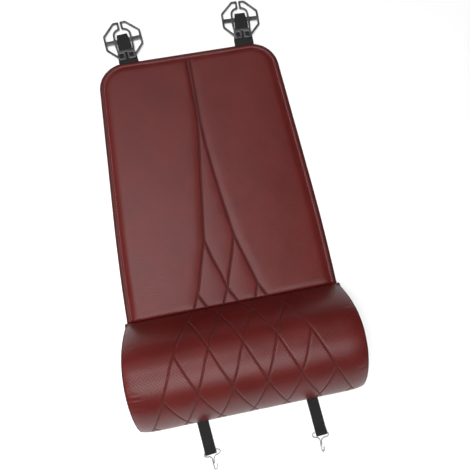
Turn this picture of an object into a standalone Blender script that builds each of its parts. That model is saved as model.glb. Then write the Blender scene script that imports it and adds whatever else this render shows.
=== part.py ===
"""Car seat cushion: a thin padded seat panel with a filled leg roll sewn to its front edge.

X is the width, +Y points to the back edge with its two anchor plates, and the cushion lies on z = 0.
All shapes are laid out from the crease between panel and roll, and an empty then brings the whole
cushion's footprint to the origin.
"""

import math

import bmesh
import bpy
import numpy as np
from mathutils import Matrix, Vector
from mathutils.geometry import delaunay_2d_cdt

MM = 0.001
GAP = 0.3 * MM                 # clearance between touching pieces
WELD = 0.01 * MM               # points closer than this are one
LAYOUT_MERGE = 0.2 * MM        # the same in a flat layout of points
SOFT_ANGLE = math.radians(40)  # padded faces shade smooth up to this angle, moulded and wire ones to the next
HARD_ANGLE = math.radians(30)

# Seat panel
PANEL_LENGTH = 607.5 * MM      # crease to back edge
BACK_HALF = 213.0 * MM         # half width at the back edge
FRONT_HALF = 240.0 * MM        # half width where the straight sides would meet the crease
CREASE_DRAW = 6.4 * MM         # how far the crease seam pulls each side in
DRAW_LENGTH = 240.0 * MM       # stretch of the side over which it is pulled in
CORNER_RADIUS = 45.0 * MM
# distance in from the hem's edge, height of the top face (mm)
HEM_PROFILE = ((0.0, 4.5), (3.0, 7.4), (8.0, 8.0), (13.0, 6.2), (20.0, 10.4), (34.0, 12.4), (95.0, 13.6))
# distance behind the crease, height of the top face (mm)
CREASE_PROFILE = ((0.0, 8.5), (5.0, 10.6), (16.0, 12.8), (40.0, 13.6))
HEM_RINGS = (0.0, 3.0, 8.0, 13.0, 20.0, 34.0)
RING_SIDE_POINTS = 15          # points of a ring along a side, round a corner and along the back
RING_CORNER_POINTS = 7
RING_BACK_POINTS = 9
CREASE_ROW_HALF = 200.0 * MM   # half length of the rows of points behind the crease
CREASE_ROW_POINTS = 13
PANEL_CELL = 34.0 * MM         # spacing of the points between the hem and the channels
PANEL_CLEAR = 11.0 * MM        # how far those points stay from lines

# Sewn channels
CHANNEL_DEPTH = 2.8 * MM
PANEL_STEP = 22.0 * MM         # spacing of points along the panel's channels
ROLL_STEP = 12.5 * MM          # spacing of points along the roll's channels
CHANNEL_HALF = 8.0 * MM        # half width of the trough that the stitching pulls in
# distance behind the crease, left line's x, right line's x (mm)
TRUNK_LINES = ((590, -2, 5), (530, -2, 5), (480, -2, 4), (430, -3, 3), (375, -9, 5), (312, -18, 10),
               (235, -28, 18), (150, -39, 29))
# each row is one branch below the trunks, as (x, distance behind the crease) pairs (mm)
BRANCH_LINES = (
    ((-39, 150), (-50, 113), (-69, 46), (-74, 34), (-88, 0)),
    ((-74, 34), (-57, 0)),
    ((-39, 150), (-29, 109), (-15, 67), (-7, 36), (12, 0)),
    ((29, 150), (18, 111), (0, 60), (-7, 36), (-23, 0)),
    ((29, 150), (35, 126), (48, 80), (60, 34), (48, 0)),
    ((60, 34), (77, 0)),
)
CREASE_STARTS = ((-88, 0), (-57, 1), (-23, 1), (12, 2), (48, 2), (77, 3))   # x at crease, first-row knot

# Leg roll
ROLL_HALF = 237.5 * MM
CREST_Y = -110.0 * MM
CREST_Z = 118.0 * MM
BACK_EDGE_HEIGHT = 10.0 * MM   # height of the roll where it meets the panel
BACK_POWER = 2.3               # how square the arch's back half is
FRONT_POWER = 2.05
FRONT_REACH = 118.0 * MM       # crest to the front of the arch
TURN_RADIUS = 10.0 * MM        # turn-under at the front edge
ROLL_COLUMN = 24.0 * MM        # spacing of points along the roll
ROLL_CLEAR = 7.0 * MM          # how far those points stay from lines
ROUND_POINTS = 23              # points round the section and along the front edge
FRONT_POINTS = 21
ARCH_STEPS = 80                # steps of the section on each half of the arch, and round the turn-under
TURN_STEPS = 9
SLOPE_STEP = 0.5 * MM          # half the stretch over which the section's slope is taken
SEAM_FADE = 8.0 * MM           # the cover sinks fully only this far above the crease seam
FLOOR_FADE = 22.0 * MM         # and this far from the front seam
CHANNEL_STOP = 14.0 * MM       # the diamonds end this far before the front seam
END_DRAW = 6.0 * MM            # how far the section shrinks at the end seams
END_ZONE = 38.0 * MM
END_RINGS = (3.0, 8.0, 13.0, 20.0, 38.0)
SEAM_DEPTH = 1.6 * MM          # trough of the stitching beside each end seam
SEAM_INSET = 13.0 * MM
SEAM_HALF = 5.0 * MM
END_BULGE = 2.5 * MM
END_BULGE_INSET = 11.0 * MM
DIAMOND_PITCH = 68.5 * MM      # across the roll
DIAMOND_ROW = 85.0 * MM        # half a diamond, round the section
FIRST_ROW = 45.0 * MM
FIRST_KNOTS = 4
DIAMOND_ROWS = 4

# Elastic straps and anchor plates, laid out from each plate's centre
PLATE_THICKNESS = 3.6 * MM
PLATE_TILT = math.radians(-1.4)
PLATE_LIFT = 1.4 * MM          # underside at the plate's centre
OUTLINE_ROUNDING = 3.0         # corner radius of the plate's outline (mm)
WINDOW_ROUNDING = 2.2
CORNER_SHARE = 0.45            # most of a side that the rounding of a corner takes
# half outline from the front edge round to the back (mm)
PLATE_OUTLINE = ((2.8, -33.4), (2.8, -53.0), (20.4, -53.0), (20.4, -49.0), (45.6, -21.0), (45.6, 18.0),
                 (16.0, 49.0), (1.8, 49.0), (2.1, 27.4), (12.0, 24.2), (16.6, 19.0), (17.8, 11.0), (17.8, 2.0))
# half outline of the strap's slot, then the windows that each side has (mm)
PLATE_SLOT = ((17.9, -8.0), (17.7, -20.0), (17.0, -28.6))
PLATE_WINDOWS = (
    ((6.4, 44.4), (14.2, 44.4), (41.0, 16.2), (41.0, 2.0), (22.4, 2.0), (22.2, 12.4), (20.6, 21.2), (14.4, 28.2),
     (6.7, 31.0)),
    ((22.8, -8.0), (41.0, -8.0), (41.0, -19.2), (21.2, -41.0), (20.9, -31.0), (22.2, -20.0)),
    ((6.4, -36.6), (6.4, -49.2), (16.8, -49.2), (16.8, -36.6)),
)
# distance along the strap from the plate's centre, height of its middle, width (mm)
ELASTIC_PATH = ((-53.0, 0.95, 45.0), (-36.0, 0.95, 41.0), (-31.0, 0.95, 35.0), (-28.0, 1.0, 33.0),
                (-23.0, 2.3, 32.5), (-13.5, 5.5, 32.0), (-8.5, 6.4, 31.0), (2.0, 6.3, 28.0), (12.5, 5.9, 25.0))
ELASTIC_WIDTH = 47.0 * MM
ELASTIC_THICKNESS = 1.5 * MM
ELASTIC_TUCK = 27.0 * MM       # sewn length under the hem
ELASTIC_FULL = 1.0             # full width up to this far outside the hem (mm)
ELASTIC_SEAT = 2.1 * MM        # height of its seat in the hem
ELASTIC_SEAT_BEYOND = 40.0 * MM
# side, plate centre x and distance behind the crease (mm), turn (degrees), centre to hem (mm)
ANCHORS = (("left", -142.0, 671.0, 4.5, 64.0), ("right", 149.0, 680.0, -2.5, 69.5))

# Webbing straps and wire hooks, laid out from each webbing's looped end
WEBBING_WIDTH = 24.0 * MM
WEBBING_HEIGHT = 2.6 * MM
WEBBING_TUCK = 34.0 * MM
WEBBING_SEAT = 3.0 * MM
WEBBING_SEAT_BEYOND = 10.0 * MM
LOOP_HOLE = 1.35 * MM          # half height of the loop
LOOP_WALL = 1.2 * MM
LOOP_STEPS = 8
LOOP_SHOULDER = 8.0 * MM       # the loop narrows from here to where the doubled webbing lies flat
LOOP_FLAT = 17.0 * MM
HOLE_SHOULDER = 7.5 * MM       # its hole narrows from here to a tip
HOLE_TIP = 13.0 * MM
HOLE_TIP_RISE = 0.4 * MM       # height of the tip above the lower ply
BAR_PLACE = 3.4 * MM           # how far inside the loop the ring's bar lies
FLOOR_GAP = 0.1 * MM
WIRE_RADIUS = 1.0 * MM
HOOK_LEAN_START = 9.0          # the stem leans from here on (mm below the bar)
HOOK_DROP_LENGTH = 14.0        # the wire comes down to the floor over this length (mm)
# side, looped end x and distance before the crease (mm), turn of the webbing (degrees),
# hook's sideways place in the loop (mm), turn of the hook, lean of its stem, twist of its tip (degrees)
HOOKS = (("left", -105.0, 293.5, 5.0, 2.6, 0.0, 8.0, 0.0), ("right", 130.5, 303.0, 3.3, -2.0, -11.0, 0.0, 50.0))
# wire centre line from the tip to the second wire's end (mm)
HOOK_TIP = ((7.0, -27.0), (7.2, -30.6), (6.4, -34.2), (4.0, -36.4), (1.5, -35.8), (0.1, -33.2))
HOOK_STEM = ((-0.1, -29.0), (-1.15, -25.0), (-1.4, -18.5), (-2.6, -13.4), (-5.8, -10.4))
HOOK_RING = ((-11.2, -9.3), (-15.6, -7.8), (-17.2, -4.2), (-15.8, -1.2), (-13.2, 0.0))
HOOK_LAST = ((5.8, -10.4), (2.6, -13.4), (1.4, -18.5), (1.25, -24.4))

# name, colour, roughness, metallic
FINISHES = {
    "wine_leather": ((0.150, 0.034, 0.033, 1.0), 0.48, 0.0),
    "black_elastic": ((0.022, 0.023, 0.024, 1.0), 0.85, 0.0),
    "black_webbing": ((0.026, 0.027, 0.028, 1.0), 0.80, 0.0),
    "black_plastic": ((0.030, 0.030, 0.031, 1.0), 0.40, 0.0),
    "bright_nickel": ((0.720, 0.715, 0.700, 1.0), 0.22, 1.0),
}


# Scene, collections and materials

def clear_scene():
    for obj in list(bpy.data.objects):
        bpy.data.objects.remove(obj, do_unlink=True)


def new_collection(name):
    collection = bpy.data.collections.new(name)
    bpy.context.scene.collection.children.link(collection)
    return collection


def finish_material(name):
    material = bpy.data.materials.get(name)
    if material:
        return material
    colour, roughness, metallic = FINISHES[name]
    material = bpy.data.materials.new(name)
    material.use_nodes = True
    shader = material.node_tree.nodes["Principled BSDF"]
    shader.inputs["Base Color"].default_value = colour
    shader.inputs["Roughness"].default_value = roughness
    shader.inputs["Metallic"].default_value = metallic
    material.diffuse_color = colour
    return material


def place_object(name, mesh, finish, collection, parent, matrix=None):
    """Link a mesh as a named sub-part under the cushion's empty."""
    obj = bpy.data.objects.new(name, mesh)
    mesh.name = name
    mesh.materials.clear()
    mesh.materials.append(finish_material(finish))
    collection.objects.link(obj)
    obj.parent = parent
    if matrix is not None:
        obj.matrix_local = matrix
    return obj


def mesh_from_bmesh(bm, smooth_angle=SOFT_ANGLE):
    bmesh.ops.recalc_face_normals(bm, faces=bm.faces)
    mesh = bpy.data.meshes.new("shape")
    bm.to_mesh(mesh)
    bm.free()
    mesh.shade_smooth()
    mesh.set_sharp_from_angle(angle=smooth_angle)
    return mesh


def mesh_from_curve(curve):
    """Turn a curve datablock into a welded closed mesh."""
    guide = bpy.data.objects.new("guide", curve)
    bpy.context.scene.collection.objects.link(guide)
    bpy.context.view_layer.update()
    evaluated = guide.evaluated_get(bpy.context.evaluated_depsgraph_get())
    mesh = bpy.data.meshes.new_from_object(evaluated)
    bpy.data.objects.remove(guide, do_unlink=True)
    bm = bmesh.new()
    bm.from_mesh(mesh)
    bmesh.ops.remove_doubles(bm, verts=bm.verts, dist=WELD)
    return mesh_from_bmesh(bm, HARD_ANGLE)


def cut_box(target, size, centre, frame, parent, cutters):
    """Cut a strap's seat into a padded piece with a hidden box."""
    bm = bmesh.new()
    bmesh.ops.create_cube(bm, size=1.0, matrix=Matrix.Diagonal((*size, 1.0)))
    mesh = bpy.data.meshes.new("seat_cutter")
    bm.to_mesh(mesh)
    bm.free()
    cutter = bpy.data.objects.new(f"{target.name}_seat_cutter", mesh)
    cutters.objects.link(cutter)
    cutter.parent = parent
    cutter.matrix_local = frame @ Matrix.Translation(centre)
    cutter.hide_render = True
    cutter.display_type = "WIRE"
    cut = target.modifiers.new("strap_seat", "BOOLEAN")
    cut.operation = "DIFFERENCE"
    cut.solver = "EXACT"
    cut.object = cutter


# Planar layouts shared by the panel and the roll

def offset_line(points, distance):
    """Move an open 2D line sideways, keeping its turns."""
    points = np.asarray(points, dtype=float)
    ahead = np.gradient(points, axis=0)
    ahead /= np.linalg.norm(ahead, axis=1)[:, None]
    side = np.stack([-ahead[:, 1], ahead[:, 0]], axis=1)
    return points + side * distance


def resample(points, step):
    """Points along a line, evenly spaced between its own corners."""
    out = []
    for start, end in zip(points[:-1], points[1:]):
        start = np.asarray(start, dtype=float)
        end = np.asarray(end, dtype=float)
        count = max(1, round(float(np.linalg.norm(end - start)) / step))
        out += [start + (end - start) * k / count for k in range(count)]
    out.append(np.asarray(points[-1], dtype=float))
    return np.array(out)


def line_distance(point, lines):
    """Distance from a 2D point to the nearest of some lines."""
    nearest = math.inf
    for line in lines:
        start, end = line[:-1], line[1:]
        run = end - start
        along = np.clip(((point - start) * run).sum(1) / (run ** 2).sum(1), 0.0, 1.0)
        nearest = min(nearest, float(np.linalg.norm(start + along[:, None] * run - point, axis=1).min()))
    return nearest


def trough(distance, half_width, depth):
    return depth * max(0.0, 1.0 - distance / half_width)


def triangulate(outline, lines, points):
    """Triangles inside an outline that keep every given line as edges."""
    verts = [Vector(p) for p in outline]
    edges = []
    for line in lines:
        first = len(verts)
        verts += [Vector(p) for p in line]
        edges += [(first + k, first + k + 1) for k in range(len(line) - 1)]
    verts += [Vector(p) for p in points]
    layout = delaunay_2d_cdt(verts, edges, [list(range(len(outline)))], 1, LAYOUT_MERGE)
    return layout[0], layout[2]


def centred_places(half, step):
    """Evenly spaced places up to a distance on both sides of the middle."""
    count = int(half // step)
    return np.arange(-count, count + 1) * step


def clear_points(columns, rows, lines, distance, keep):
    """Grid points that stay clear of the lines and pass a test."""
    found = []
    for x in columns:
        for y in rows:
            point = np.array((x, y))
            if keep(x, y) and line_distance(point, lines) > distance:
                found.append(point)
    return found


# Seat panel

def side_half(y):
    """Half width of the panel at a distance behind the crease."""
    straight = FRONT_HALF + (BACK_HALF - FRONT_HALF) * y / PANEL_LENGTH
    return straight - CREASE_DRAW * max(0.0, 1.0 - y / DRAW_LENGTH) ** 2


def hem_ring(inset):
    """The panel's sides and back, moved in by an inset, from front left to front right."""
    radius = CORNER_RADIUS - inset
    right = []
    for y in np.linspace(0.0, PANEL_LENGTH - CORNER_RADIUS, RING_SIDE_POINTS):
        right.append((side_half(y) - inset, y))
    for angle in np.linspace(0.0, math.pi / 2, RING_CORNER_POINTS)[1:]:
        right.append((BACK_HALF - CORNER_RADIUS + radius * math.cos(angle),
                      PANEL_LENGTH - CORNER_RADIUS + radius * math.sin(angle)))
    left = [(-x, y) for x, y in right]
    across = np.linspace(right[-1][0], left[-1][0], RING_BACK_POINTS)[1:-1]
    back = [(x, PANEL_LENGTH - inset) for x in across]
    return np.array(left + back[::-1] + right[::-1])


def edge_distance(x, y):
    """Distance in from the panel's hem edge."""
    from_side = side_half(min(y, PANEL_LENGTH)) - abs(x)
    from_back = PANEL_LENGTH - y
    if from_side < CORNER_RADIUS and from_back < CORNER_RADIUS:
        across = abs(x) - (BACK_HALF - CORNER_RADIUS)
        along = y - (PANEL_LENGTH - CORNER_RADIUS)
        return max(0.0, CORNER_RADIUS - math.hypot(across, along))
    return max(0.0, min(from_side, from_back))


def profile_height(profile, distance):
    inset, height = np.array(profile).T
    return float(np.interp(distance / MM, inset, height)) * MM


def panel_channels():
    """Centre lines of the panel's sewn channels."""
    trunks = np.array(TRUNK_LINES, dtype=float) * MM
    left = trunks[:, [1, 0]]
    right = trunks[:, [2, 0]]
    branches = [np.array(branch, dtype=float) * MM for branch in BRANCH_LINES]
    return [left, right] + branches


def seat_panel(collection, parent):
    channels = [resample(line, PANEL_STEP) for line in panel_channels()]
    shoulders = []
    for line in channels:
        for side in (-1.0, 1.0):
            shoulder = offset_line(line, side * CHANNEL_HALF)
            shoulder[:, 1] = shoulder[:, 1].clip(min=0.0)
            shoulders.append(shoulder)
    rings = [hem_ring(inset * MM) for inset in HEM_RINGS]
    across = np.linspace(-CREASE_ROW_HALF, CREASE_ROW_HALF, CREASE_ROW_POINTS)
    crease_rows = [np.array([(x, inset * MM) for x in across]) for inset, _ in CREASE_PROFILE[1:]]
    lines = channels + shoulders + rings[1:] + crease_rows

    inner = HEM_RINGS[-1] * MM
    columns = centred_places(FRONT_HALF, PANEL_CELL)
    rows = np.arange(PANEL_CELL, PANEL_LENGTH, PANEL_CELL)
    points = clear_points(columns, rows, lines, PANEL_CLEAR, lambda x, y: edge_distance(x, y) > inner)
    flat, triangles = triangulate(rings[0], lines, points)

    bm = bmesh.new()
    verts = []
    for x, y in flat:
        height = min(profile_height(HEM_PROFILE, edge_distance(x, y)), profile_height(CREASE_PROFILE, y))
        sunk = trough(line_distance(np.array((x, y)), channels), CHANNEL_HALF, CHANNEL_DEPTH)
        verts.append(bm.verts.new((x, y, height - sunk)))
    for corners in triangles:
        bm.faces.new([verts[k] for k in corners])
    bmesh.ops.delete(bm, geom=[v for v in bm.verts if not v.link_faces], context="VERTS")

    rim = [edge for edge in bm.edges if edge.is_boundary]
    skirt = bmesh.ops.extrude_edge_only(bm, edges=rim)["geom"]
    for vert in skirt:
        if isinstance(vert, bmesh.types.BMVert):
            vert.co.z = 0.0
    bmesh.ops.contextual_create(bm, geom=[e for e in skirt if isinstance(e, bmesh.types.BMEdge) and e.is_boundary])
    return place_object("seat_panel", mesh_from_bmesh(bm), "wine_leather", collection, parent)


# Leg roll

def roll_section():
    """The roll's section from the floor at the crease, over the crest, to the floor at the front."""
    span = np.linspace(1.0, 0.0, ARCH_STEPS)
    back_y = CREST_Y * (1.0 - span)
    back_z = BACK_EDGE_HEIGHT + (CREST_Z - BACK_EDGE_HEIGHT) * (1.0 - span ** BACK_POWER)
    centre_y = CREST_Y - FRONT_REACH + TURN_RADIUS
    rise = math.atan((CREST_Z - TURN_RADIUS) * FRONT_POWER / FRONT_REACH)
    turn_z = TURN_RADIUS * (1.0 + math.cos(rise))
    turn_y = centre_y - TURN_RADIUS * math.sin(rise)
    front = np.linspace(0.0, 1.0, ARCH_STEPS)[1:]
    front_y = CREST_Y + (turn_y - CREST_Y) * front
    front_z = turn_z + (CREST_Z - turn_z) * (1.0 - front ** FRONT_POWER)
    turn = np.linspace(math.pi - rise, 0.0, TURN_STEPS)[1:]
    under_y = centre_y - TURN_RADIUS * np.sin(turn)
    under_z = TURN_RADIUS * (1.0 - np.cos(turn))
    y = np.concatenate([[0.0], back_y, front_y, under_y]) - GAP
    z = np.concatenate([[0.0], back_z, front_z, under_z])
    return np.stack([y, z], axis=1)


class RollSurface:
    """Maps width and distance round the section to points on the roll."""

    def __init__(self):
        self.section = roll_section()
        steps = np.linalg.norm(np.diff(self.section, axis=0), axis=1)
        self.round = np.concatenate([[0.0], np.cumsum(steps)]) - BACK_EDGE_HEIGHT
        self.start = self.round[0]
        self.end = self.round[-1]

    def at(self, s):
        y = np.interp(s, self.round, self.section[:, 0])
        z = np.interp(s, self.round, self.section[:, 1])
        return np.array((y, z))

    def point(self, x, s, sunk):
        """A point sunk below the section, kept on the floor and on the crease seam."""
        ahead = self.at(min(s + SLOPE_STEP, self.end)) - self.at(max(s - SLOPE_STEP, self.start))
        ahead /= np.linalg.norm(ahead)
        inward = np.array((-ahead[1], ahead[0]))
        from_seam = min(1.0, max(0.0, s) / SEAM_FADE)
        from_floor = min(from_seam, (self.end - s) / FLOOR_FADE)
        y, z = self.at(s) + sunk * inward * np.array((from_seam, from_floor))
        return Vector((x, y, z))


def diamond_knots(row):
    """Widths and distance round the section of one row of crossings."""
    count = FIRST_KNOTS + row
    xs = [DIAMOND_PITCH * (k - (count - 1) / 2) for k in range(count)]
    return xs, FIRST_ROW + DIAMOND_ROW * row


def roll_channels(end):
    """Centre lines of the diamonds, each from one crossing to the next."""
    lines = []
    first, first_s = diamond_knots(0)
    for x, knot in CREASE_STARTS:
        lines.append(np.array(((x * MM, 0.0), (first[knot], first_s))))
    for row in range(DIAMOND_ROWS):
        upper, upper_s = diamond_knots(row)
        lower, lower_s = diamond_knots(row + 1)
        reach = min(1.0, (end - upper_s) / (lower_s - upper_s))
        for k, x in enumerate(upper):
            for below in (lower[k], lower[k + 1]):
                stop = (x + (below - x) * reach, upper_s + (lower_s - upper_s) * reach)
                lines.append(np.array(((x, upper_s), stop)))
    return lines


def leg_roll(collection, parent):
    surface = RollSurface()
    channels = [resample(line, ROLL_STEP) for line in roll_channels(surface.end - CHANNEL_STOP)]
    shoulders = []
    for line in channels:
        shoulders += [offset_line(line, CHANNEL_HALF), offset_line(line, -CHANNEL_HALF)]
    rounds = np.linspace(surface.start, surface.end, ROUND_POINTS)
    columns = centred_places(ROLL_HALF, ROLL_COLUMN)
    rings = []
    for inset in END_RINGS:
        for side in (-1.0, 1.0):
            rings.append(np.array([(side * (ROLL_HALF - inset * MM), s) for s in rounds]))
    lines = channels + shoulders + rings
    points = clear_points(columns, rounds[1:-1], lines, ROLL_CLEAR, lambda x, s: True)
    front = np.linspace(-ROLL_HALF, ROLL_HALF, FRONT_POINTS)
    outline = [(-ROLL_HALF, s) for s in rounds] + [(x, surface.end) for x in front[1:-1]]
    outline += [(ROLL_HALF, s) for s in rounds[::-1]] + [(x, surface.start) for x in front[-2:0:-1]]
    flat, triangles = triangulate(outline, lines, points)

    bm = bmesh.new()
    verts = []
    borders = {"left": [], "right": [], "crease": [], "front": []}
    for x, s in flat:
        inset = ROLL_HALF - abs(x)
        sunk = END_DRAW * max(0.0, 1.0 - inset / END_ZONE) ** 2
        sunk += trough(abs(inset - SEAM_INSET), SEAM_HALF, SEAM_DEPTH)
        sunk += trough(line_distance(np.array((x, s)), channels), CHANNEL_HALF, CHANNEL_DEPTH)
        vert = bm.verts.new(surface.point(x, s, sunk))
        verts.append(vert)
        if inset < WELD:
            borders["left" if x < 0 else "right"].append((s, vert))
        if s < surface.start + WELD:
            borders["crease"].append((x, vert))
        if s > surface.end - WELD:
            borders["front"].append((x, vert))
    for corners in triangles:
        bm.faces.new([verts[k] for k in corners])
    ordered = {}
    for name, found in borders.items():
        ordered[name] = [vert for _, vert in sorted(found, key=lambda pair: pair[0])]
    bm.faces.new(ordered["crease"] + ordered["front"][::-1])
    for name in ("left", "right"):
        end_face = bm.faces.new(ordered[name])
        end_face.normal_update()
        outward = -1.0 if name == "left" else 1.0
        if end_face.normal.x * outward < 0.0:
            end_face.normal_flip()
        bmesh.ops.inset_region(bm, faces=[end_face], thickness=END_BULGE_INSET, depth=END_BULGE)
    return place_object("leg_roll", mesh_from_bmesh(bm), "wine_leather", collection, parent)


# Elastic straps and anchor plates

def mirrored(points):
    return [(-x, y) for x, y in reversed(points)]


def rounded(points, radius):
    """Replace each corner of a closed outline by a short chamfer arc."""
    out = []
    count = len(points)
    for k, corner in enumerate(points):
        corner = Vector(corner)
        before = Vector(points[k - 1]) - corner
        after = Vector(points[(k + 1) % count]) - corner
        cut = min(radius, CORNER_SHARE * before.length, CORNER_SHARE * after.length)
        start = corner + before.normalized() * cut
        end = corner + after.normalized() * cut
        middle = (start + end) / 4 + corner / 2
        out += [start, middle, end]
    return out


def plate_outlines():
    """The plate's outer edge and its windows, in millimetres from its centre."""
    outer = list(PLATE_OUTLINE) + mirrored(PLATE_OUTLINE)
    windows = [list(PLATE_SLOT) + mirrored(PLATE_SLOT)]
    for window in PLATE_WINDOWS:
        windows += [list(window), mirrored(window)]
    return outer, windows


def anchor_plate(side, frame, collection, parent):
    outer, windows = plate_outlines()
    curve = bpy.data.curves.new("plate_outline", "CURVE")
    curve.dimensions = "2D"
    curve.fill_mode = "BOTH"
    curve.extrude = PLATE_THICKNESS / 2
    for loop, radius in [(outer, OUTLINE_ROUNDING)] + [(window, WINDOW_ROUNDING) for window in windows]:
        corners = rounded(loop, radius)
        spline = curve.splines.new("POLY")
        spline.points.add(len(corners) - 1)
        for point, corner in zip(spline.points, corners):
            point.co = (corner.x * MM, corner.y * MM, 0.0, 1.0)
        spline.use_cyclic_u = True
    lift = Matrix.Translation((0.0, 0.0, PLATE_LIFT + PLATE_THICKNESS / 2)) @ Matrix.Rotation(PLATE_TILT, 4, "X")
    return place_object(f"anchor_plate_{side}", mesh_from_curve(curve), "black_plastic", collection, parent,
                        frame @ lift)


def anchor_strap(side, frame, hem, collection, parent):
    path = [(-hem - ELASTIC_TUCK / MM, ELASTIC_PATH[0][1], ELASTIC_WIDTH / MM)]
    path += [(-hem - ELASTIC_FULL, ELASTIC_PATH[0][1], ELASTIC_WIDTH / MM)] + list(ELASTIC_PATH)
    bm = bmesh.new()
    rows = []
    for along, height, width in path:
        edges = [(side_x * width / 2 * MM, along * MM, height * MM) for side_x in (-1.0, 0.0, 1.0)]
        rows.append([bm.verts.new(edge) for edge in edges])
    for near, far in zip(rows[:-1], rows[1:]):
        for k in range(2):
            bm.faces.new((near[k], near[k + 1], far[k + 1], far[k]))
    strap = place_object(f"anchor_strap_{side}", mesh_from_bmesh(bm), "black_elastic", collection, parent, frame)
    thickness = strap.modifiers.new("elastic_thickness", "SOLIDIFY")
    thickness.thickness = ELASTIC_THICKNESS
    thickness.offset = 0.0
    thickness.use_even_offset = True
    return strap


def anchors(panel, collection, cutters, parent):
    for side, x, y, turn, hem in ANCHORS:
        frame = Matrix.Translation((x * MM, y * MM, 0.0)) @ Matrix.Rotation(math.radians(turn), 4, "Z")
        anchor_plate(side, frame, collection, parent)
        anchor_strap(side, frame, hem, collection, parent)
        width = ELASTIC_WIDTH + 2 * GAP
        length = ELASTIC_TUCK + ELASTIC_SEAT_BEYOND
        centre = (0.0, -hem * MM - ELASTIC_TUCK - GAP + length / 2, 0.0)
        cut_box(panel, (width, length, 2 * ELASTIC_SEAT), centre, frame, parent, cutters)


# Webbing straps and wire hooks

def arc(centre, radius, start, end, steps):
    points = []
    for k in range(steps + 1):
        angle = math.radians(start + (end - start) * k / steps)
        points.append((centre[0] + radius * math.cos(angle), centre[1] + radius * math.sin(angle)))
    return points


def hook_strap(side, frame, reach, collection, parent):
    """Doubled webbing whose end loops round the hook's ring; outlines run along it and up."""
    middle = FLOOR_GAP + LOOP_WALL + LOOP_HOLE
    top = FLOOR_GAP + WEBBING_HEIGHT
    outer = [(reach, FLOOR_GAP), (reach, top), (LOOP_FLAT, top), (LOOP_SHOULDER, 2 * middle - FLOOR_GAP)]
    outer += arc((0.0, middle), LOOP_HOLE + LOOP_WALL, 90, 270, LOOP_STEPS)
    hole = [(HOLE_SHOULDER, middle + LOOP_HOLE), (HOLE_TIP, FLOOR_GAP + LOOP_WALL + HOLE_TIP_RISE),
            (HOLE_SHOULDER, middle - LOOP_HOLE)]
    hole += arc((0.0, middle), LOOP_HOLE, 270, 90, LOOP_STEPS)
    curve = bpy.data.curves.new("webbing_section", "CURVE")
    curve.dimensions = "2D"
    curve.fill_mode = "BOTH"
    curve.extrude = WEBBING_WIDTH / 2
    for loop in (outer, hole):
        spline = curve.splines.new("POLY")
        spline.points.add(len(loop) - 1)
        for point, (along, up) in zip(spline.points, loop):
            point.co = (along, up, 0.0, 1.0)
        spline.use_cyclic_u = True
    stand = Matrix(((0.0, 0.0, 1.0, 0.0), (1.0, 0.0, 0.0, 0.0), (0.0, 1.0, 0.0, 0.0), (0.0, 0.0, 0.0, 1.0)))
    return place_object(f"hook_strap_{side}", mesh_from_curve(curve), "black_webbing", collection, parent,
                        frame @ stand)


def hook_path(lean, twist):
    """The bent wire's centre line, tip first, in metres from the middle of its ring's bar."""
    ring = list(HOOK_RING)
    last_ring = [(-x, y) for x, y in reversed(ring)]
    flat = list(HOOK_TIP) + list(HOOK_STEM) + ring + last_ring + list(HOOK_LAST)
    foot = LOOP_HOLE + LOOP_WALL - WIRE_RADIUS
    path = []
    for k, (x, y) in enumerate(flat):
        drop = -foot * min(1.0, -y / HOOK_DROP_LENGTH)
        if k < len(HOOK_TIP):
            x, rise = x * math.cos(twist), x * MM * math.sin(twist)
        else:
            rise = 0.0
        x -= math.tan(lean) * max(0.0, -y - HOOK_LEAN_START)
        path.append(Vector((x * MM, y * MM, drop + max(0.0, rise))))
    return path


def wire_hook(side, frame, lean, twist, collection, parent):
    path = hook_path(lean, twist)
    curve = bpy.data.curves.new("hook_wire", "CURVE")
    curve.dimensions = "3D"
    curve.bevel_depth = WIRE_RADIUS
    curve.bevel_resolution = 1
    curve.use_fill_caps = True
    spline = curve.splines.new("POLY")
    spline.points.add(len(path) - 1)
    for point, co in zip(spline.points, path):
        point.co = (*co, 1.0)
    return place_object(f"hook_{side}", mesh_from_curve(curve), "bright_nickel", collection, parent, frame)


def hooks(roll, collection, cutters, parent):
    front = CREST_Y - FRONT_REACH
    for side, x, before, turn, shift, hook_turn, lean, twist in HOOKS:
        frame = Matrix.Translation((x * MM, -before * MM, 0.0)) @ Matrix.Rotation(math.radians(turn), 4, "Z")
        reach = before * MM + front + WEBBING_TUCK
        hook_strap(side, frame, reach, collection, parent)
        length = WEBBING_TUCK + WEBBING_SEAT_BEYOND
        centre = (0.0, reach + GAP - length / 2, 0.0)
        cut_box(roll, (WEBBING_WIDTH + 2 * GAP, length, 2 * WEBBING_SEAT), centre, frame, parent, cutters)
        bar = Matrix.Translation((shift * MM, BAR_PLACE, FLOOR_GAP + LOOP_WALL + LOOP_HOLE))
        hook_frame = frame @ bar @ Matrix.Rotation(math.radians(hook_turn), 4, "Z")
        wire_hook(side, hook_frame, math.radians(lean), math.radians(twist), collection, parent)


def centre_on_origin(collection, root):
    """Bring the middle of the whole footprint to the origin."""
    bpy.context.view_layer.update()
    graph = bpy.context.evaluated_depsgraph_get()
    corners = []
    for obj in collection.objects:
        if obj.type == "MESH":
            mesh = obj.evaluated_get(graph).to_mesh()
            corners += [obj.matrix_world @ vert.co for vert in mesh.vertices]
    low = Vector(min(c[k] for c in corners) for k in range(3))
    high = Vector(max(c[k] for c in corners) for k in range(3))
    root.location = (-(low.x + high.x) / 2, -(low.y + high.y) / 2, -low.z)
    bpy.context.view_layer.update()


def main():
    clear_scene()
    collection = new_collection("car_seat_cushion")
    cutters = new_collection("cutters")
    root = bpy.data.objects.new("cushion_root", None)
    collection.objects.link(root)
    panel = seat_panel(collection, root)
    roll = leg_roll(collection, root)
    anchors(panel, collection, cutters, root)
    hooks(roll, collection, cutters, root)
    centre_on_origin(collection, root)


main()
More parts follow.
